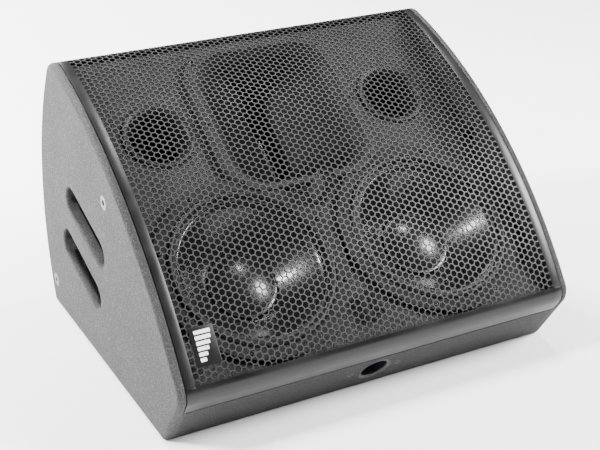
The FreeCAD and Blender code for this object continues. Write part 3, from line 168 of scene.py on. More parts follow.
NOSE = Vector((-NOSE_REACH, NOSE_HEIGHT))
TOP = Vector((TOP_BACK, TOP_HEIGHT))
REAR_FOOT = Vector((FLOOR_DEPTH, 0))
INSIDE = Vector(((REAR_FOOT.x + NOSE.x) / 2, TOP_HEIGHT / 3))
FRONT_C, FRONT_R = bulging_arc(NOSE, TOP, FRONT_BULGE, INSIDE)
REAR_C, REAR_R = bulging_arc(TOP, REAR_FOOT, REAR_BULGE, INSIDE)
APRON = NOSE.normalized()
APRON_IN = Vector((APRON.y, -APRON.x))
NOSE_C = touching_line(APRON_IN, APRON, FRONT_C, FRONT_R - NOSE_ROUND, NOSE_ROUND)
TOP_C = between_circles(FRONT_C, FRONT_R - TOP_ROUND, REAR_C, REAR_R - TOP_ROUND, TOP)
SHIFT = -(NOSE_C.x - NOSE_ROUND + REAR_C.x + REAR_R) / 2


class Skin:
    """The path round the steel front, from the apron up the nose, the front, the top and the rear."""

    def __init__(self):
        self.runs = []
        nose_start = bearing(APRON_IN, (0, 0)) + FULL_TURN
        front_start = bearing(FRONT_C, NOSE_C)
        front_end = bearing(FRONT_C, TOP_C)
        rear_start = bearing(REAR_C, TOP_C)
        self.straight = NOSE_C.dot(APRON)
        self.add(NOSE_C, NOSE_ROUND, nose_start, front_start)
        self.add(FRONT_C, FRONT_R, front_start, front_end)
        self.add(TOP_C, TOP_ROUND, front_end, rear_start)
        self.add(REAR_C, REAR_R, rear_start, rear_start - REAR_SWEEP)

    def add(self, centre, radius, start, end):
        begin = self.runs[-1][5] if self.runs else self.straight
        self.runs.append((centre, radius, start, end, begin, begin + radius * (start - end)))

    def at(self, stretch, sink=0.0):
        """A point a stretch along the path from the floor, sunk below the outer face."""
        if stretch < self.straight:
            point = APRON * stretch + APRON_IN * sink
        else:
            run = next((r for r in self.runs if stretch <= r[5]), self.runs[-1])
            angle = run[2] - (stretch - run[4]) / run[1]
            point = turned_from(run[0], run[1] - sink, angle)
        return Vector((0, point.x + SHIFT, point.y))


SKIN = Skin()
NOSE_START, NOSE_END = SKIN.runs[0][4:]
FRONT_START = SKIN.runs[1][4]
TOP_START, TOP_END = SKIN.runs[2][4:]

# ------------------------------------------------------------------ making pieces


def deselect():
    for item in bpy.context.selected_objects:
        item.select_set(False)


def take(piece):
    deselect()
    piece.select_set(True)
    bpy.context.view_layer.objects.active = piece


def begin(name):
    """Names the primitive that was just added, and opens it for editing."""
    piece = bpy.context.object
    piece.name = piece.data.name = name
    bpy.ops.object.mode_set(mode="EDIT")
    return piece


def edit(piece):
    take(piece)
    bpy.ops.object.mode_set(mode="EDIT")


def end_edit():
    bpy.ops.object.mode_set(mode="OBJECT")


def modifier(piece, kind, **values):
    """Adds a modifier with its values and applies it."""
    take(piece)
    added = piece.modifiers.new(kind, kind)
    for key, value in values.items():
        setattr(added, key, value)
    bpy.ops.object.modifier_apply(modifier=added.name)


def round_edges(piece, width, segments, angle=50):
    """Bevels the edges that turn by more than an angle."""
    modifier(piece, "BEVEL", width=width, segments=segments, limit_method="ANGLE",
             angle_limit=math.radians(angle))


def smooth(piece, angle=35):
    take(piece)
    bpy.ops.object.shade_smooth_by_angle(angle=math.radians(angle))


def settle(piece, place, body, slot, material, *nodes):
    """Puts a piece in its place for good, with its body, material and the nodes it stands for; the slot is not
    used.
    """
    piece.data.transform(place @ piece.matrix_basis)
    piece.matrix_basis = Matrix.Identity(4)
    piece.data.materials.clear()
    piece.data.materials.append(material)
    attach(piece, body)
    if nodes:
        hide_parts(*nodes)
    return piece


def copy_of(piece, name):
    """A second piece of the same shape, with a mesh of its own."""
    twin = bpy.data.objects.new(name, piece.data.copy())
    twin.data.name = name
    bpy.context.scene.collection.objects.link(twin)
    return twin


def spun(name, profile, steps=96):
    """A round piece: a line of (radius, height) corners, drawn from one point, spun about Z."""
    deselect()
    bpy.ops.mesh.primitive_plane_add(size=MM)
    piece = begin(name)
    bpy.ops.mesh.select_all(action="SELECT")
    bpy.ops.mesh.merge(type="CENTER")
    bpy.ops.transform.translate(value=(profile[0][0], 0, profile[0][1]))
    for (r0, z0), (r1, z1) in zip(profile, profile[1:]):
        bpy.ops.mesh.extrude_vertices_move(TRANSFORM_OT_translate={"value": (r1 - r0, 0, z1 - z0)})
    bpy.ops.mesh.select_all(action="SELECT")
    bpy.ops.mesh.spin(steps=steps, angle=FULL_TURN, center=(0, 0, 0), axis=(0, 0, 1))
    bpy.ops.mesh.select_all(action="SELECT")
    bpy.ops.mesh.remove_doubles(threshold=1e-6)
    bpy.ops.mesh.normals_make_consistent(inside=False)
    end_edit()
    return piece


def bow(start, end, rise, count=6):
    """Points of a shallow arc between two profile corners, risen to the left of the way along."""
    a, b = Vector(start), Vector(end)
    square = Vector((a.y - b.y, b.x - a.x)).normalized()
    points = []
    for k in range(1, count):
        share = k / count
        points.append(tuple(a.lerp(b, share) + square * rise * 4 * share * (1 - share)))
    return points


def from_node(node, name):
    """A merged, smooth copy of a machined piece, with its flat faces kept flat."""
    piece = copy_of(NODES[node], name)
    edit(piece)
    bpy.ops.mesh.select_all(action="SELECT")
    bpy.ops.mesh.remove_doubles(threshold=2e-6)
    end_edit()
    smooth(piece, 30)
    modifier(piece, "WEIGHTED_NORMAL", mode="FACE_AREA", weight=100, keep_sharp=True)
    return piece


def keep_node(node, material, slot):
    """A node whose shape is right, shown as its smooth copy."""
    return settle(from_node(node, node + "_skin"), Matrix(), ROOT, slot, material, node)


# ------------------------------------------------------------------ materials


def grey(level):
    return (level, level, level)


class Shade:
    """A material under way: its node tree with short calls to add and link nodes."""

    def __init__(self, name, color, roughness, metallic=0.0, specular=0.5, coat=0.0):
        self.material = bpy.data.materials.new(name)
        self.material.use_nodes = True
        self.tree = self.material.node_tree
        self.main = self.tree.nodes["Principled BSDF"]
        self.main.inputs["Base Color"].default_value = (*color, 1)
        self.main.inputs["Roughness"].default_value = roughness
        self.main.inputs["Metallic"].default_value = metallic
        self.main.inputs["Specular IOR Level"].default_value = specular
        self.main.inputs["Coat Weight"].default_value = coat
        self.place = self.tree.nodes.new("ShaderNodeTexCoord")
        self.bump = None

    def add(self, kind, **values):
        node = self.tree.nodes.new(kind)
        for key, value in values.items():
            setattr(node, key, value)
        return node

    def join(self, source, target):
        self.tree.links.new(source, target)

    def noise(self, scale, detail=3.0, rough=0.5, stretch=None):
        node = self.add("ShaderNodeTexNoise")
        node.inputs["Scale"].default_value = scale
        node.inputs["Detail"].default_value = detail
        node.inputs["Roughness"].default_value = rough
        source = self.place.outputs["Object"]
        if stretch:
            mapping = self.add("ShaderNodeMapping")
            mapping.inputs["Scale"].default_value = stretch
            self.join(source, mapping.inputs["Vector"])
            source = mapping.outputs["Vector"]
        self.join(source, node.inputs["Vector"])
        return node.outputs["Fac"]

    def cells(self, scale):
        node = self.add("ShaderNodeTexVoronoi", feature="F1")
        node.inputs["Scale"].default_value = scale
        self.join(self.place.outputs["Object"], node.inputs["Vector"])
        return node.outputs["Distance"]

    def spread(self, source, low, high, out_low=0.0, out_high=1.0):
        node = self.add("ShaderNodeMapRange")
        for key, value in (("From Min", low), ("From Max", high), ("To Min", out_low), ("To Max", out_high)):
            node.inputs[key].default_value = value
        self.join(source, node.inputs["Value"])
        return node.outputs["Result"]

    def blend(self, mask, first, second):
        """Base colour from one colour to another by a mask."""
        node = self.add("ShaderNodeMix", data_type="RGBA")
        self.join(mask, node.inputs["Factor"])
        for value, target in ((first, node.inputs[6]), (second, node.inputs[7])):
            if isinstance(value, tuple):
                target.default_value = (*value, 1)
            else:
                self.join(value, target)
        return node.outputs[2]

    def color(self, source):
        self.join(source, self.main.inputs["Base Color"])

    def roughness(self, source):
        self.join(source, self.main.inputs["Roughness"])

    def relief(self, source, distance, strength=1.0):
        """Adds a bump over those that are there already."""
        node = self.add("ShaderNodeBump")
        node.inputs["Strength"].default_value = strength
        node.inputs["Distance"].default_value = distance
        self.join(source, node.inputs["Height"])
        if self.bump:
            self.join(self.bump.outputs["Normal"], node.inputs["Normal"])
        self.bump = node
        self.join(node.outputs["Normal"], self.main.inputs["Normal"])

    def group(self, tree, **values):
        node = self.add("ShaderNodeGroup", node_tree=tree)
        for key, value in values.items():
            node.inputs[key.replace("_", " ")].default_value = value
        self.join(self.place.outputs["Object"], node.inputs["Place"])
        return node


def new_group(name, inputs, outputs):
    tree = bpy.data.node_groups.new(name, "ShaderNodeTree")
    for label, kind, value in inputs:
        socket = tree.interface.new_socket(label, in_out="INPUT", socket_type=kind)
        if value is not None:
            socket.default_value = value
    for label, kind in outputs:
        tree.interface.new_socket(label, in_out="OUTPUT", socket_type=kind)
    return tree, tree.nodes.new("NodeGroupInput"), tree.nodes.new("NodeGroupOutput")


def spatter_group():
    """Sprayed texture paint: round droplets of two sizes over a fine orange peel, with pale tips: a painted
    highlight on the raised tips, and painted shade in the hollows between them.
    """
    tree, given, out = new_group(
        "spatter",
        [("Place", "NodeSocketVector", None), ("Scale", "NodeSocketFloat", 500.0)],
        [("Height", "NodeSocketFloat"), ("Lit tips", "NodeSocketFloat"), ("Wear", "NodeSocketFloat")])

    def texture(kind, share, **sockets):
        node = tree.nodes.new(kind)
        scale = tree.nodes.new("ShaderNodeMath")
        scale.operation = "MULTIPLY"
        scale.inputs[1].default_value = share
        tree.links.new(given.outputs["Scale"], scale.inputs[0])
        tree.links.new(scale.outputs[0], node.inputs["Scale"])
        tree.links.new(given.outputs["Place"], node.inputs["Vector"])
        for key, value in sockets.items():
            node.inputs[key].default_value = value
        return node

    def ranged(source, low, high):
        node = tree.nodes.new("ShaderNodeMapRange")
        node.inputs["From Min"].default_value = low
        node.inputs["From Max"].default_value = high
        tree.links.new(source, node.inputs["Value"])
        return node.outputs["Result"]

    def math_node(operation, first, second):
        node = tree.nodes.new("ShaderNodeMath")
        node.operation = operation
        for source, target in ((first, node.inputs[0]), (second, node.inputs[1])):
            if isinstance(source, float):
                target.default_value = source
            else:
                tree.links.new(source, target)
        return node.outputs[0]

    large = texture("ShaderNodeTexNoise", 1.0, Detail=2.0, Roughness=0.55)
    fine = texture("ShaderNodeTexNoise", 2.6, Detail=2.0, Roughness=0.6)
    broad = texture("ShaderNodeTexNoise", 0.012, Detail=3.0, Roughness=0.6)
    drops = ranged(large.outputs["Fac"], 0.44, 0.66)
    grit = ranged(fine.outputs["Fac"], 0.4, 0.7)
    height = math_node("ADD", drops, math_node("MULTIPLY", grit, 0.45))
    tree.links.new(height, out.inputs["Height"])
    tree.links.new(ranged(height, 0.55, 1.25), out.inputs["Lit tips"])
    tree.links.new(ranged(broad.outputs["Fac"], 0.35, 0.7), out.inputs["Wear"])
    return tree


def grain_group():
    """The fine grain of moulded plastic, with a slow change of shade."""
    tree, given, out = new_group(
        "grain",
        [("Place", "NodeSocketVector", None), ("Scale", "NodeSocketFloat", 900.0)],
        [("Height", "NodeSocketFloat"), ("Shade", "NodeSocketFloat")])
    fine = tree.nodes.new("ShaderNodeTexNoise")
    fine.inputs["Detail"].default_value = 4.0
    broad = tree.nodes.new("ShaderNodeTexNoise")
    broad.inputs["Scale"].default_value = 22.0
    tree.links.new(given.outputs["Scale"], fine.inputs["Scale"])
    for node in (fine, broad):
        tree.links.new(given.outputs["Place"], node.inputs["Vector"])
    tree.links.new(fine.outputs["Fac"], out.inputs["Height"])
    tree.links.new(broad.outputs["Fac"], out.inputs["Shade"])
    return tree


SPATTER = spatter_group()
GRAIN = grain_group()


def texture_paint(name, dark, pale, scale, depth, rough):
    """Sprayed texture paint on the plywood."""
    shade = Shade(name, dark, rough, specular=0.5)
    spray = shade.group(SPATTER, Scale=scale)
    # Painted highlight and shade: the colour goes from dark in the hollows to pale on the raised droplet tips.
    body = shade.blend(spray.outputs["Lit tips"], dark, pale)
    worn = tuple(c * 1.15 for c in pale)
    tint = shade.blend(shade.spread(spray.outputs["Wear"], 0.0, 1.0, 0.0, 0.25), body, worn)
    shade.color(tint)
    shade.roughness(shade.spread(spray.outputs["Lit tips"], 0.0, 1.0, rough + 0.08, rough - 0.12))
    shade.relief(spray.outputs["Height"], depth)
    return shade.material


def grained(name, dark, pale, rough, scale=900.0, depth=0.00006, metallic=0.0, specular=0.5):
    """Moulded plastic or powder coat: a fine grain, and a slow change of shade."""
    shade = Shade(name, dark, rough, metallic, specular)
    grain = shade.group(GRAIN, Scale=scale)
    shade.color(shade.blend(shade.spread(grain.outputs["Shade"], 0.3, 0.7), dark, pale))
    shade.roughness(shade.spread(grain.outputs["Shade"], 0.3, 0.7, rough - 0.05, rough + 0.07))
    shade.relief(grain.outputs["Height"], depth)
    return shade.material


def coated_cone():
    """Lacquered paper cone: glossy, with faint pulp fibres under the coat."""
    shade = Shade("coated_cone", grey(0.004), 0.28, specular=0.4, coat=0.35)
    shade.main.inputs["Coat Roughness"].default_value = 0.12
    pulp = shade.noise(160.0, 6.0, 0.7)
    fibres = shade.noise(420.0, 5.0, 0.75)
    shade.color(shade.blend(shade.spread(pulp, 0.35, 0.75), grey(0.003), grey(0.008)))
    shade.roughness(shade.spread(fibres, 0.3, 0.7, 0.22, 0.36))
    shade.relief(fibres, 0.00012, 0.6)
    shade.relief(pulp, 0.0005, 0.5)
    return shade.material


def soft_rubber(name, dark, pale, rough):
    shade = Shade(name, dark, rough, specular=0.35)
    bloom = shade.noise(60.0, 5.0, 0.6)
    shade.color(shade.blend(shade.spread(bloom, 0.35, 0.7), dark, pale))
    shade.roughness(shade.spread(bloom, 0.3, 0.7, rough - 0.06, rough + 0.1))
    shade.relief(shade.noise(1800.0, 2.0), 0.00005)
    return shade.material


def foam(name, dark, pale):
    """Closed-cell foam with small pits."""
    shade = Shade(name, dark, 0.85, specular=0.2)
    pits = shade.cells(900.0)
    shade.color(shade.blend(shade.spread(pits, 0.1, 0.7), pale, dark))
    shade.relief(pits, 0.0003, 0.8)
    return shade.material


def plated(name, dark, pale, rough):
    """Turned and plated steel, with fine marks."""
    shade = Shade(name, pale, rough, metallic=1.0)
    marks = shade.noise(700.0, 4.0, 0.6)
    shade.color(shade.blend(shade.spread(marks, 0.35, 0.7), dark, pale))
    shade.roughness(shade.spread(marks, 0.3, 0.7, rough - 0.06, rough + 0.12))
    shade.relief(marks, 0.00004)
    return shade.material


def horn_plastic():
    """Moulded horn plastic, satin at the rim, with painted shade: darker from the rim down into the mouth and the
    throat.
    """
    shade = Shade("horn_plastic", grey(0.002), 0.55, specular=0.12)
    depth = shade.add("ShaderNodeVectorMath", operation="DOT_PRODUCT")
    depth.inputs[1].default_value = tuple(NORMAL)
    shade.join(shade.place.outputs["Object"], depth.inputs[0])
    level = (LEFT_CENTRE + RIGHT_CENTRE).dot(NORMAL) / 2
    # Painted shade: lighter on the proud rim, dark below the baffle's plane, inside the mouth.
    rim = shade.spread(depth.outputs["Value"], level - 0.006, level + 0.006)
    grain = shade.group(GRAIN, Scale=900.0)
    shade.color(shade.blend(rim, grey(0.0015), grey(0.030)))
    shade.relief(grain.outputs["Height"], 0.00006)
    return shade.material


def ferrite():
    shade = Shade("ferrite", (0.03, 0.03, 0.032), 0.7)
    specks = shade.noise(300.0, 6.0, 0.7)
    shade.color(shade.blend(shade.spread(specks, 0.4, 0.7), (0.02, 0.02, 0.022), (0.06, 0.06, 0.062)))
    shade.relief(specks, 0.0002)
    return shade.material


def bare_ply():
    """Birch plywood: long grain, drawn out along X."""
    shade = Shade("bare_ply", (0.42, 0.29, 0.16), 0.6)
    grain = shade.noise(14.0, 6.0, 0.6, (1.0, 12.0, 12.0))
    shade.color(shade.blend(shade.spread(grain, 0.3, 0.7), (0.30, 0.19, 0.10), (0.52, 0.38, 0.23)))
    shade.roughness(shade.spread(grain, 0.3, 0.7, 0.5, 0.7))
    shade.relief(grain, 0.0003)
    return shade.material


def woven(name, dark, pale):
    shade = Shade(name, dark, 0.9)
    wave = shade.add("ShaderNodeTexWave", wave_type="RINGS", rings_direction="Z")
    wave.inputs["Scale"].default_value = 300.0
    shade.join(shade.place.outputs["Object"], wave.inputs["Vector"])
    shade.color(shade.blend(wave.outputs["Fac"], dark, pale))
    shade.relief(wave.outputs["Fac"], 0.0002)
    return shade.material


def winding(name, dark, pale):
    """Enamelled wire, turn beside turn."""
    shade = Shade(name, pale, 0.3, metallic=0.9)
    wave = shade.add("ShaderNodeTexWave", bands_direction="Z")
    wave.inputs["Scale"].default_value = 260.0
    shade.join(shade.place.outputs["Object"], wave.inputs["Vector"])
    shade.color(shade.blend(wave.outputs["Fac"], dark, pale))
    shade.relief(wave.outputs["Fac"], 0.0003)
    return shade.material


def fibre_wadding():
    shade = Shade("fibre_wadding", grey(0.07), 0.95)
    fibres = shade.noise(220.0, 8.0, 0.8)
    shade.color(shade.blend(shade.spread(fibres, 0.35, 0.65), grey(0.05), grey(0.10)))
    shade.relief(fibres, 0.002, 0.8)
    return shade.material


CABINET_PAINT = texture_paint("cabinet_paint", grey(0.006), grey(0.060), 560.0, 0.0011, 0.6)
# Painted shade: the baffle's paint is darker than the cabinet's, for the shade behind the steel front.
SHADED_BAFFLE_PAINT = texture_paint("baffle_paint", grey(0.006), grey(0.035), 480.0, 0.0006, 0.55)
GRILLE_COAT = grained("grille_coat", grey(0.004), grey(0.007), 0.34, 1400.0, 0.00004, specular=0.3)
# Painted highlight: the field of holes gets a lighter copy of the grille's coat, for the light caught by the
# rolled edges of the holes.
LIT_GRILLE_WEB = grained("grille_web_lit", grey(0.009), grey(0.014), 0.5, 1400.0, 0.00004, specular=0.4)
# Painted shade: the apron's paint is a darker copy of the cabinet paint, for the downward-facing apron in its own
# shadow.
SHADED_APRON_PAINT = texture_paint("apron_paint_shaded", grey(0.002), grey(0.012), 560.0, 0.0008, 0.65)
HORN_PLASTIC = horn_plastic()
HORN_GLOSS = grained("horn_gloss", grey(0.01), grey(0.016), 0.25, specular=0.8)
PORT_PLASTIC = grained("port_plastic", grey(0.005), grey(0.010), 0.5, specular=0.35)
CUP_PLASTIC = grained("cup_plastic", grey(0.004), grey(0.008), 0.45, specular=0.4)
DISH_COAT = grained("dish_coat", grey(0.02), grey(0.03), 0.45, 1200.0)
SOCKET_PLASTIC = grained("socket_plastic", (0.008, 0.008, 0.010), (0.014, 0.014, 0.018), 0.3)
BASKET_COAT = grained("basket_coat", grey(0.004), grey(0.008), 0.45, 1100.0)
POST_PLASTIC = grained("post_plastic", grey(0.05), grey(0.08), 0.6)
CONE_COAT = coated_cone()
SURROUND_RUBBER = soft_rubber("surround_rubber", grey(0.005), grey(0.010), 0.5)
GASKET_FOAM = foam("gasket_foam", grey(0.015), grey(0.035))
PAD_FOAM = foam("pad_foam", grey(0.006), grey(0.012))
SCREW_BLACK = plated("screw_black", grey(0.03), grey(0.07), 0.35)
SCREW_BRIGHT = plated("screw_bright", grey(0.10), grey(0.22), 0.35)
MAGNET_STEEL = plated("magnet_steel", (0.45, 0.45, 0.46), (0.62, 0.62, 0.63), 0.35)
TITANIUM = plated("diaphragm_titanium", (0.40, 0.40, 0.42), (0.52, 0.52, 0.54), 0.3)
FERRITE = ferrite()
BARE_PLY = bare_ply()
SPIDER_CLOTH = woven("spider_cloth", (0.30, 0.20, 0.08), (0.50, 0.36, 0.16))
COIL_WIRE = winding("coil_wire", (0.30, 0.12, 0.05), (0.72, 0.36, 0.18))
LAMINATE = grained("board_laminate", (0.02, 0.09, 0.04), (0.03, 0.12, 0.05), 0.35)
CAPACITOR_FILM = grained("capacitor_film", (0.45, 0.38, 0.12), (0.55, 0.47, 0.18), 0.3)
WADDING = fibre_wadding()
BADGE_FACE = grained("badge_face", grey(0.002), grey(0.004), 0.45, 600.0, 0.00002, specular=0.25)
BADGE_MARK = grained("badge_mark", grey(0.80), grey(0.86), 0.4, 600.0, 0.00002)
POLE_BORE = grained("pole_bore", (0.006, 0.007, 0.011), (0.010, 0.011, 0.016), 0.35)

# ------------------------------------------------------------------ cabinet


def cabinet():
    for side in ("left", "right"):
        keep_node("side_panel_" + side, CABINET_PAINT, "cabinet_paint")
        keep_node("handle_cup_" + side, CUP_PLASTIC, "cup_plastic")
    for node in ("bottom_panel", "rear_panel"):
        keep_node(node, CABINET_PAINT, "cabinet_paint")
    # The apron gets the darker copy of the cabinet paint: painted shade.
    keep_node("apron_panel", SHADED_APRON_PAINT, "cabinet_paint")
    # The baffle gets the darker paint: painted shade behind the steel front.
    keep_node("baffle_board", SHADED_BAFFLE_PAINT, "baffle_paint")
    keep_node("connector_dish", DISH_COAT, "dish_metal")
    keep_node("pole_socket", POLE_BORE, "screw_black")
    for end in ("input", "link"):
        keep_node(end + "_socket", SOCKET_PLASTIC, "socket_plastic")


# ------------------------------------------------------------------ steel front

CELL_PITCH = 9.05 * MM
CELL = CELL_PITCH / math.sqrt(3)
WEB = 1.4 * MM
SHEET = 1.5 * MM
LATTICE_SINK = 0.06 * MM
SIDE_SEAM = 0.6 * MM
GRILLE_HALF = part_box("grille")[1].x - SIDE_SEAM
SIDE_MARGIN = 8.5 * MM
COLUMN_STEP = 1.5 * CELL
FLANGE_START = 0.0731
FIRST_ROW = FRONT_START - 3 * MM
ROWS_PAST_TOP = 14 * MM
RETURN_LENGTH = 36.0 * MM
RETURN_EDGE = 4 * MM
SIDE_LAP, END_LAP = 2.1 * MM, 1.2 * MM


def lattice_counts():
    """Column pairs and rows of holes that fit between the plain margins."""
    room = 2 * (GRILLE_HALF - SIDE_MARGIN) - 2 * CELL
    columns = int(room / COLUMN_STEP) + 1
    rows = int((TOP_START + ROWS_PAST_TOP - FIRST_ROW) / CELL_PITCH)
    return columns // 2, rows


def wrap(piece, sink):
    """Bends a flat sheet: its Y becomes a stretch along the skin, its Z the depth under it."""
    for vertex in piece.data.vertices:
        x, stretch, _ = vertex.co
        point = SKIN.at(stretch, sink)
        vertex.co = (x, point.y, point.z)


def perforated_sheet():
    """The field of six-sided holes: one ringed cell, repeated, bent and given its thickness."""
    pairs, rows = lattice_counts()
    deselect()
    bpy.ops.mesh.primitive_circle_add(vertices=6, radius=CELL, fill_type="NGON")
    piece = begin("perforated_sheet")
    bpy.ops.mesh.select_all(action="SELECT")
    if abs(max(v.co.x for v in piece.data.vertices) - CELL) > MM / 10:
        bpy.ops.transform.rotate(value=math.radians(30), orient_axis="Z", center_override=(0, 0, 0))
    bpy.ops.mesh.inset(thickness=WEB / 2)
    bpy.ops.mesh.delete(type="FACE")
    bpy.ops.mesh.select_all(action="SELECT")
    bpy.ops.mesh.duplicate_move(TRANSFORM_OT_translate={"value": (COLUMN_STEP, CELL_PITCH / 2, 0)})
    end_edit()
    for count, step in ((rows, (0, CELL_PITCH, 0)), (pairs, (2 * COLUMN_STEP, 0, 0))):
        modifier(piece, "ARRAY", count=count, use_relative_offset=False, use_constant_offset=True,
                 constant_offset_displace=step)
    width = (2 * pairs - 1) * COLUMN_STEP
    edit(piece)
    bpy.ops.mesh.select_all(action="SELECT")
    bpy.ops.mesh.remove_doubles(threshold=CELL / 100)
    bpy.ops.transform.translate(value=(-width / 2, FIRST_ROW + CELL_PITCH / 2, 0))
    bpy.ops.mesh.normals_make_consistent(inside=False)
    end_edit()
    wrap(piece, LATTICE_SINK)
    modifier(piece, "SOLIDIFY", thickness=SHEET - 2 * LATTICE_SINK, offset=-1)
    return piece, width / 2 + CELL, FIRST_ROW + rows * CELL_PITCH + CELL_PITCH / 2


def stretches(start, end, step):
    count = max(1, math.ceil((end - start) / step))
    return [start + (end - start) * k / count for k in range(count)]


def sheet_border(inner_half, first, last):
    """The plain steel round the holes: side strips, nose roll, lower flange, top and return."""
    # The rows double back over themselves where the field starts before the nose ends, and where it
    # ends after the top starts, so the strip is threefold there.
    stop = TOP_END + RETURN_LENGTH - RETURN_EDGE
    ways = stretches(FLANGE_START, NOSE_START, 8 * MM) + stretches(NOSE_START, NOSE_END, 1.5 * MM)
    ways += stretches(NOSE_END, first, 4 * MM) + stretches(first, last, 8 * MM)
    ways += stretches(last, TOP_START, 4 * MM) + stretches(TOP_START, TOP_END, 1.5 * MM)
    ways += stretches(TOP_END, stop, 6 * MM) + [stop]
    columns = (-GRILLE_HALF, -inner_half, inner_half, GRILLE_HALF)
    deselect()
    bpy.ops.mesh.primitive_grid_add(x_subdivisions=3, y_subdivisions=len(ways) - 1, size=1)
    piece = begin("sheet_border")
    end_edit()
    order = sorted(piece.data.vertices, key=lambda v: (round(v.co.y, 5), round(v.co.x, 5)))
    for index, vertex in enumerate(order):
        vertex.co = (columns[index % 4], ways[index // 4], 0)
    edit(piece)
    bpy.ops.mesh.select_all(action="DESELECT")
    end_edit()
    for face in piece.data.polygons:
        face.select = abs(face.center.x) < inner_half / 2 and first < face.center.y < last
    bpy.ops.object.mode_set(mode="EDIT")
    bpy.ops.mesh.select_mode(type="FACE")
    bpy.ops.mesh.delete(type="FACE")
    bpy.ops.mesh.select_mode(type="VERT")
    bpy.ops.mesh.select_all(action="SELECT")
    bpy.ops.mesh.normals_make_consistent(inside=False)
    end_edit()
    wrap(piece, 0.0)
    modifier(piece, "SOLIDIFY", thickness=SHEET, offset=-1)
    round_edges(piece, 0.3 * MM, 2)
    return piece


def steel_front():
    field, half, last = perforated_sheet()
    # The webs between the holes get the lighter copy of the coat: a painted highlight.
    settle(field, Matrix(), ROOT, "grille_coat", LIT_GRILLE_WEB, "grille")
    border = sheet_border(half - SIDE_LAP, FIRST_ROW + END_LAP, last - END_LAP)
    smooth(border, 40)
    settle(border, Matrix(), ROOT, "grille_coat", GRILLE_COAT, "grille")


# ------------------------------------------------------------------ woofers


def cone_profile(rim, neck):
    """A curved cone with a rolled lip, from the neck to the rim and back underneath."""
    skin = 1.2 * MM
    face = [neck] + bow(neck, rim, -3.0 * MM, 12) + [rim]
    lip = [(rim[0] + 1.6 * MM, rim[1] + 0.5 * MM), (rim[0] + 2.2 * MM, rim[1] - 0.3 * MM)]
    back = [(r + 0.3 * MM, z - skin) for r, z in reversed(face)]
    return face + lip + back + [neck]


def dome_profile(rim, height, skin=1.0 * MM, count=12):
    """A dust cap from its top to its rim, with a small foot, and back underneath."""
    radius = (rim * rim + height * height) / (2 * height)
    reach = math.asin(rim / radius)
    outer = []
    for k in range(count + 1):
        angle = reach * k / count
        outer.append((radius * math.sin(angle), radius * math.cos(angle) - radius + height))
    foot = [(rim + 2.2 * MM, 0.2 * MM), (rim + 2.2 * MM, -0.5 * MM)]
    inner = [(max(0.0, r - skin / 3), z - skin) for r, z in reversed(outer)]
    return outer + foot + inner


def roll_profile(inner, outer, base, crest):
    """The half roll of the surround, with its two flat lands."""
    mid, reach = (inner + outer) / 2, (outer - inner) / 2
    top = [(mid - reach * math.cos(math.pi * k / 14), base + crest * math.sin(math.pi * k / 14))
           for k in range(15)]
    land_in = [(inner - 4.5 * MM, base), (inner - 1.0 * MM, base + 0.1 * MM)]
    land_out = [(outer + 1.0 * MM, base + 0.1 * MM), (outer + 2.6 * MM, base)]
    upper = land_in + top + land_out
    lower = [(r, z - 0.7 * MM) for r, z in reversed(upper)]
    return upper + lower + [upper[0]]


def woofer(side):
    place = WOOFERS[side]
    stem = "woofer_%s_" % side
    moving = "woofer_%s_moving" % side
    cone_low, cone_high = local_box(stem + "cone", place)
    cap_low, cap_high = local_box(stem + "dust_cap", place)
    roll_low, roll_high = local_box(stem + "surround", place)
    rim = (cone_high.x - 2.4 * MM, cone_high.z - 0.6 * MM)
    neck = (-local_box(stem + "voice_coil", place)[0].x - 0.5 * MM, cone_low.z + 1.4 * MM)
    cone = spun(stem + "cone_shell", cone_profile(rim, neck), 128)
    smooth(cone, 50)
    settle(cone, place, moving, "cone_paper", CONE_COAT, stem + "cone")
    cap = spun(stem + "dome", dome_profile(cap_high.x - 2.2 * MM, cap_high.z - cap_low.z - 1.0 * MM), 96)
    smooth(cap, 50)
    settle(cap, place @ Matrix.Translation((0, 0, cap_low.z + 1.0 * MM)), moving, "cone_paper", CONE_COAT,
           stem + "dust_cap")
    base = roll_low.z + 0.3 * MM
    inner = cone_high.x + 0.6 * MM
    outer = roll_high.x - 4.4 * MM
    roll = spun(stem + "half_roll", roll_profile(inner + 4.0 * MM, outer, base, 7.0 * MM), 128)
    smooth(roll, 50)
    settle(roll, place, ROOT, "surround_rubber", SURROUND_RUBBER, stem + "surround")
    keep_node(stem + "gasket", GASKET_FOAM, "gasket_foam")
    keep_node(stem + "basket", BASKET_COAT, "basket_metal")


# ------------------------------------------------------------------ horn, ports, posts


def rounded_plate(name, width, height, corner, level, segments=10):
    """A flat plate with round corners, open for more rings."""
    deselect()
    bpy.ops.mesh.primitive_plane_add(size=1)
    piece = begin(name)
    bpy.ops.mesh.select_all(action="SELECT")
    bpy.ops.transform.resize(value=(width, height, 1))
    bpy.ops.mesh.bevel(offset=corner, segments=segments, affect="VERTICES")
    bpy.ops.mesh.select_all(action="SELECT")
    bpy.ops.transform.translate(value=(0, 0, level))
    return piece


def ring_on(size, level, before, round_it=0.0):
    """Extrudes the selected face to its next ring: a size and level, from those before."""
    bpy.ops.mesh.extrude_region_move(TRANSFORM_OT_translate={"value": (0, 0, level - before[2])})
    bpy.ops.transform.resize(value=(size[0] / before[0], size[1] / before[1], 1))
    if round_it:
        bpy.ops.transform.tosphere(value=round_it)
    return (size[0], size[1], level)


# Share of the depth, and the width and height there, as shares of the mouth's.
HORN_FLARE = (
    (0.05, 0.955, 0.97), (0.12, 0.85, 0.91), (0.22, 0.67, 0.83), (0.33, 0.47, 0.75), (0.44, 0.29, 0.68),
    (0.52, 0.17, 0.63), (0.56, 0.135, 0.61), (0.60, 0.125, 0.60), (0.74, 0.13, 0.44), (0.88, 0.15, 0.27),
)

SLOT_STEP = 6


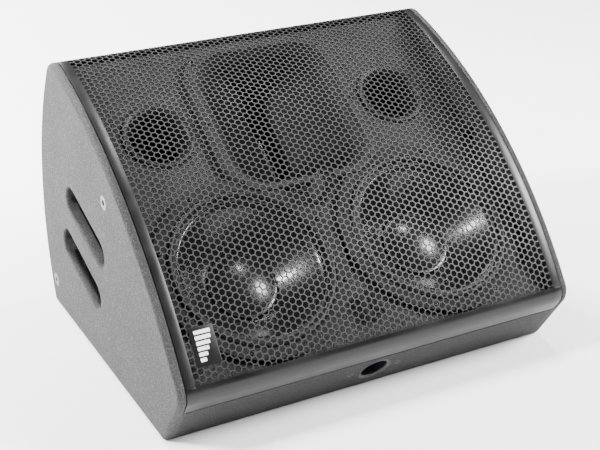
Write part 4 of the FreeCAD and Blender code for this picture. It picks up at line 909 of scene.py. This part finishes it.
def horn():
    low, high = local_box("horn", BAFFLE)
    width, height = high.x - low.x, high.y - low.y
    centre = Vector((0, (low.y + high.y) / 2, 0))
    mouth = (width - 32 * MM, height - 18 * MM)
    proud = high.z
    depth = -local_box("driver_top_plate", BAFFLE)[1].z
    corner = 58 * MM
    piece = rounded_plate("horn_shell", width, height, corner, 0.0, 14)
    at = (width, height, 0.0)
    at = ring_on((width, height), proud - 3.5 * MM, at)
    for inset, drop in ((1.2, 1.2), (3.2, 0.2), (5.0, 0.0)):
        at = ring_on((width - 2 * inset * MM, height - 2 * inset * MM), proud - drop * MM, at)
    for inset, drop in ((0.5, 0.2), (-0.6, 1.2), (-1.0, 3.0)):
        at = ring_on((mouth[0] + 2 * inset * MM, mouth[1] + 2 * inset * MM), proud - drop * MM, at)
    throat = 36 * MM
    for share, wide, tall in HORN_FLARE:
        level = proud - share * (depth + proud)
        at = ring_on((mouth[0] * wide, mouth[1] * tall), level, at)
    at = ring_on((throat, throat), -depth, at, 1.0)
    bpy.ops.mesh.select_all(action="DESELECT")
    end_edit()
    for face in piece.data.polygons:
        face.select = len(face.vertices) > 4
    bpy.ops.object.mode_set(mode="EDIT")
    bpy.ops.mesh.delete(type="FACE")
    bpy.ops.mesh.select_all(action="SELECT")
    bpy.ops.mesh.normals_make_consistent(inside=False)
    end_edit()
    smooth(piece, 38)
    modifier(piece, "SOLIDIFY", thickness=2.0 * MM, offset=-1)
    settle(piece, BAFFLE @ Matrix.Translation(centre), ROOT, "horn_plastic", HORN_PLASTIC, "horn")
    horn_slot_lip(mouth[0], proud, depth, centre)


def horn_slot_lip(mouth, proud, depth, centre):
    """The glossy rounded edge where the flare turns into the narrow upright slot."""
    share, wide, _ = HORN_FLARE[SLOT_STEP]
    spot = Vector((-mouth * wide / 2 + 1.5 * MM, -42 * MM, proud - share * (depth + proud) + 2 * MM))
    deselect()
    bpy.ops.mesh.primitive_cylinder_add(vertices=16, radius=2.6 * MM, depth=88 * MM)
    piece = begin("horn_slot_lip")
    bpy.ops.mesh.select_all(action="SELECT")
    bpy.ops.transform.rotate(value=math.radians(90), orient_axis="X", center_override=(0, 0, 0))
    end_edit()
    round_edges(piece, 1.6 * MM, 3)
    smooth(piece, 40)
    settle(piece, BAFFLE @ Matrix.Translation(centre + spot), ROOT, "horn_plastic", HORN_GLOSS, "horn")


def port_profile(low, high, bore):
    """A flared tube: bore, round flare, flat rim, and back along the outside."""
    flange = high.x
    wall = 3.0 * MM
    top = high.z
    flare = [(bore + 7.5 * MM * (1 - math.cos(a)), -14 * MM + 16.5 * MM * math.sin(a))
             for a in [math.radians(10 * k) for k in range(1, 9)]]
    rim = [(flange - 4.5 * MM, top - 0.1 * MM), (flange - 2.0 * MM, top - 0.4 * MM),
           (flange - 0.6 * MM, top - 1.6 * MM), (flange, 0.4 * MM), (flange, 0.0)]
    inside = [(bore, low.z), (bore, -14 * MM)]
    outside = [(flange - 4 * MM, 0.0), (flange - 4 * MM, -14 * MM),
               (bore + wall, -20 * MM), (bore + wall, low.z)]
    return inside + flare + rim + outside + [(bore, low.z)]


def port(side):
    node = "port_tube_" + side
    low, high = local_box(node, BAFFLE)
    centre = Vector(((low.x + high.x) / 2, (low.y + high.y) / 2, 0))
    half = (high.x - low.x) / 2
    piece = spun("port_" + side, port_profile(low, Vector((half, 0, high.z)), half - 13.5 * MM), 96)
    smooth(piece, 45)
    settle(piece, BAFFLE @ Matrix.Translation(centre), ROOT, "port_plastic", PORT_PLASTIC, node)


def post_block(name, low, high, node, material, slot):
    """A moulded block with rounded edges."""
    size = high - low
    deselect()
    bpy.ops.mesh.primitive_cube_add(size=1)
    piece = begin(name)
    bpy.ops.mesh.select_all(action="SELECT")
    bpy.ops.transform.resize(value=tuple(size))
    bpy.ops.mesh.subdivide(number_cuts=1)
    end_edit()
    round_edges(piece, 1.2 * MM, 3, 40)
    smooth(piece, 40)
    place = BAFFLE @ Matrix.Translation((low + high) / 2)
    settle(piece, place, ROOT, slot, material, node)


def posts():
    inverse = BAFFLE.inverted()
    for node, stem, material, slot in (("grille_posts", "grille_post", POST_PLASTIC, "post_plastic"),
                                       ("grille_post_pads", "grille_post_pad", PAD_FOAM, "pad_foam")):
        for count, corners in enumerate(sorted(islands(node), key=lambda c: min(p.z for p in c)), start=1):
            low, high = box_round([inverse @ point for point in corners])
            post_block("%s_%d" % (stem, count), low, high, node, material, slot)


# ------------------------------------------------------------------ screws and badge


def screw_head(name, radius, height, key, length, sunk=False):
    """A screw: a domed or countersunk head with a six-sided key, and its shank."""
    if sunk:
        profile = [(0, 0), (key * 1.35, 0), (radius - 0.3 * MM, 0), (radius, -0.3 * MM),
                   (radius * 0.5, -height), (radius * 0.5, -length), (0, -length)]
    else:
        profile = [(0, 0), (key * 1.35, 0), (radius * 0.75, -height * 0.08), (radius * 0.95, -height * 0.4),
                   (radius, -height), (radius * 0.55, -height), (radius * 0.55, -length), (0, -length)]
    piece = spun(name, profile, 24)
    smooth(piece, 35)
    deselect()
    bpy.ops.mesh.primitive_cylinder_add(vertices=6, radius=key, depth=height * 1.4)
    cutter = bpy.context.object
    take(piece)
    cut = piece.modifiers.new("key", "BOOLEAN")
    cut.operation = "DIFFERENCE"
    cut.object = cutter
    bpy.ops.object.modifier_apply(modifier=cut.name)
    bpy.data.objects.remove(cutter)
    return piece


def seats(node, direction):
    """Where each screw of a node sits: the top of its head, on its axis."""
    spots = []
    for corners in islands(node):
        centre = sum(corners, Vector()) / len(corners)
        out = direction(centre)
        top = max(point.dot(out) for point in corners)
        low, high = box_round([point - out * point.dot(out) for point in corners])
        spots.append(((low + high) / 2 + out * top, out))
    return sorted(spots, key=lambda spot: tuple(round(c, 4) for c in spot[0]))


def screws(node, stem, direction, material, slot, radius, height, key, length, sunk=False):
    """One screw, modelled once and copied to every seat of a node."""
    pattern = screw_head(stem + "_pattern", radius, height, key, length, sunk)
    for count, (spot, out) in enumerate(seats(node, direction), start=1):
        piece = copy_of(pattern, "%s_%d" % (stem, count))
        side = Vector((0, 0, 1)) if abs(out.x) > 0.9 else ACROSS
        flat = (side - out * side.dot(out)).normalized()
        settle(piece, axes(spot, flat, out.cross(flat), out), ROOT, slot, material, node)
    bpy.data.objects.remove(pattern)


def rear_out(point):
    """Outward from the rear board's arc."""
    away = Vector((0, point.y - SHIFT - REAR_C.x, point.z - REAR_C.y))
    return away.normalized()


def all_screws():
    for side in ("left", "right"):
        stem = "woofer_%s_screw" % side
        screws(stem + "s", stem, lambda p: NORMAL, SCREW_BLACK, "screw_black",
               3.6 * MM, 2.4 * MM, 1.5 * MM, 10 * MM)
    screws("horn_screws", "horn_screw", lambda p: NORMAL, SCREW_BLACK, "screw_black",
           3.4 * MM, 2.2 * MM, 1.3 * MM, 10 * MM)
    screws("rigging_screws", "rigging_screw", lambda p: Vector((math.copysign(1, p.x), 0, 0)), SCREW_BRIGHT,
           "screw_bright", 10 * MM, 5 * MM, 4.2 * MM, 20 * MM, True)
    screws("pole_screws", "pole_screw", lambda p: APRON_OUT, SCREW_BLACK, "screw_black",
           5 * MM, 2.6 * MM, 1.6 * MM, 12 * MM, True)
    screws("dish_screws", "dish_screw", rear_out, SCREW_BLACK, "screw_black",
           3.4 * MM, 2.2 * MM, 1.3 * MM, 8 * MM)
    screws("grille_screws", "grille_screw", rear_out, SCREW_BLACK, "screw_black",
           4.2 * MM, 1.4 * MM, 1.3 * MM, 8 * MM, True)


def badge_place():
    """The badge's own axes, and its middle, from its node."""
    corners = [vertex.co for vertex in NODES["badge_plate"].data.vertices]
    centre = sum(corners, Vector()) / len(corners)
    away = Vector((0, centre.y - SHIFT - FRONT_C.x, centre.z - FRONT_C.y)).normalized()
    return axes(centre, ACROSS, away.cross(ACROSS), away)


# Width and height up the plate of each bar of the badge's figure, in millimetres.
BADGE_BARS = ((8.0, -16.5), (11.5, -9.8), (15.0, -3.1), (18.0, 3.6), (20.5, 10.3), (21.5, 17.0))


def thicken(height):
    """Raises the open plate to a closed block, and ends its editing."""
    bpy.ops.mesh.select_all(action="SELECT")
    bpy.ops.mesh.extrude_region_move(TRANSFORM_OT_translate={"value": (0, 0, height)})
    bpy.ops.mesh.select_all(action="SELECT")
    bpy.ops.mesh.normals_make_consistent(inside=False)
    end_edit()


def badge():
    """A dark plate with a pale figure: bars that grow wider to the top, like a level meter's."""
    place = badge_place()
    low, high = local_box("badge_plate", place)
    size = high - low
    plate = rounded_plate("badge_plate_shell", size.x, size.y, 2 * MM, 0.0, 5)
    thicken(size.z - 0.35 * MM)
    round_edges(plate, 0.3 * MM, 2)
    smooth(plate, 40)
    settle(plate, place @ Matrix.Translation((0, 0, low.z)), ROOT, "badge_plate", BADGE_FACE, "badge_plate")
    seat = place @ Matrix.Translation((0, 0, low.z + size.z - 0.4 * MM))
    for count, (width, level) in enumerate(BADGE_BARS, start=1):
        bar = rounded_plate("badge_bar_%d" % count, width * MM, 4.6 * MM, 0.9 * MM, 0.0, 3)
        thicken(0.35 * MM)
        lift = Matrix.Translation(((width / 2 - 10.5) * MM, level * MM, 0))
        settle(bar, seat @ lift, ROOT, "badge_plate", BADGE_MARK)


# ------------------------------------------------------------------ inside


def inner_finishes():
    """Finishes of the machined pieces inside, whose shapes stay as they are."""
    table = {
        "driver_top_plate": MAGNET_STEEL, "driver_magnet": FERRITE, "driver_yoke": MAGNET_STEEL,
        "driver_phase_plug": HORN_PLASTIC, "driver_diaphragm": TITANIUM, "driver_rear_cap": CUP_PLASTIC,
        "handle_screws": SCREW_BLACK, "rigging_nuts": SCREW_BRIGHT, "cabinet_brace": BARE_PLY,
        "crossover_board": LAMINATE, "crossover_coils": COIL_WIRE, "crossover_capacitors": CAPACITOR_FILM,
    }
    for side in ("left", "right"):
        stem = "woofer_%s_" % side
        table.update({stem + "voice_coil": COIL_WIRE, stem + "spider": SPIDER_CLOTH,
                      stem + "top_plate": MAGNET_STEEL, stem + "magnet": FERRITE,
                      stem + "yoke": MAGNET_STEEL})
    for node, material in table.items():
        NODES[node].data.materials.clear()
        NODES[node].data.materials.append(material)


def wadding():
    """The loose fibre block: a crowned pad with soft corners."""
    low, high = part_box("damping_wadding")
    size = high - low
    deselect()
    bpy.ops.mesh.primitive_cube_add(size=1)
    piece = begin("wadding_pad")
    bpy.ops.mesh.select_all(action="SELECT")
    bpy.ops.transform.resize(value=tuple(size * 0.94))
    bpy.ops.mesh.subdivide(number_cuts=5)
    end_edit()
    for vertex in piece.data.vertices:
        x, y = vertex.co.x / size.x * 2, vertex.co.y / size.y * 2
        sag = 0.72 + 0.28 * (1 - x * x) * (1 - y * y)
        vertex.co.z = -size.z / 2 + (vertex.co.z + size.z * 0.47) * sag
    modifier(piece, "SUBSURF", levels=1, render_levels=1)
    smooth(piece, 60)
    settle(piece, Matrix.Translation((low + high) / 2), ROOT, "wadding", WADDING, "damping_wadding")


# ------------------------------------------------------------------ floor, light, camera


def floor():
    deselect()
    bpy.ops.mesh.primitive_plane_add(size=8, location=(0, 3.0, 0))
    piece = bpy.context.object
    piece.name = "floor"
    shade = Shade("pale_floor", grey(0.95), 0.8, specular=0.2)
    shade.relief(shade.noise(40.0, 3.0), 0.0002, 0.3)
    piece.data.materials.append(shade.material)


def area_light(name, spot, target, size, power):
    data = bpy.data.lights.new(name, "AREA")
    data.shape = "RECTANGLE"
    data.size, data.size_y = size
    data.energy = power
    lamp = bpy.data.objects.new(name, data)
    bpy.context.scene.collection.objects.link(lamp)
    aim = (Vector(target) - Vector(spot)).to_track_quat("-Z", "Y")
    lamp.matrix_world = Matrix.Translation(spot) @ aim.to_matrix().to_4x4()


def studio_world():
    """White light, stronger overhead and weaker towards the horizon all round."""
    world = bpy.data.worlds.new("studio")
    bpy.context.scene.world = world
    world.use_nodes = True
    tree = world.node_tree
    place = tree.nodes.new("ShaderNodeTexCoord")
    split = tree.nodes.new("ShaderNodeSeparateXYZ")
    ramp = tree.nodes.new("ShaderNodeMapRange")
    ramp.interpolation_type = "SMOOTHSTEP"
    for key, value in (("From Min", -0.05), ("From Max", 0.75), ("To Min", 0.10), ("To Max", 0.35)):
        ramp.inputs[key].default_value = value
    tree.links.new(place.outputs["Generated"], split.inputs[0])
    tree.links.new(split.outputs["Z"], ramp.inputs["Value"])
    sky = tree.nodes["Background"]
    sky.inputs["Color"].default_value = (1, 1, 1, 1)
    tree.links.new(ramp.outputs["Result"], sky.inputs["Strength"])


def lights():
    studio_world()
    area_light("left_box", (-2.3, 0.1, 2.2), (0, 0, 0.15), (0.45, 0.45), 230)
    area_light("side_box", (-1.25, 1.1, 0.8), (-0.2, 0.1, 0.2), (0.6, 0.6), 42)
    area_light("back_box", (-0.5, 2.8, 2.0), (0, 0, 0.15), (0.6, 0.6), 330)
    area_light("top_box", (0.62, 0.37, 1.9), (0, 0, 0.15), (0.2, 0.2), 26)
    area_light("right_box", (2.6, -1.3, 2.3), (0.4, -0.3, 0), (1.2, 1.2), 430)


def camera():
    """The view: from the front left, looking down a little under twenty-five degrees."""
    data = bpy.data.cameras.new("view")
    data.lens = 77.05
    data.sensor_width = 36
    data.shift_x, data.shift_y = 0.045, -0.056
    item = bpy.data.objects.new("view", data)
    bpy.context.scene.collection.objects.link(item)
    heading, fall = math.radians(27.51), math.radians(24.15)
    spot = Vector((-0.7806, -1.4272, 0.9324))
    look = Vector((math.sin(heading) * math.cos(fall), math.cos(heading) * math.cos(fall), -math.sin(fall)))
    right = look.cross(Vector((0, 0, 1))).normalized()
    item.matrix_world = axes(spot, right, right.cross(look), -look)
    bpy.context.scene.camera = item


cabinet()
steel_front()
woofer("left")
woofer("right")
horn()
port("left")
port("right")
posts()
all_screws()
badge()
inner_finishes()
wadding()
floor()
lights()
camera()
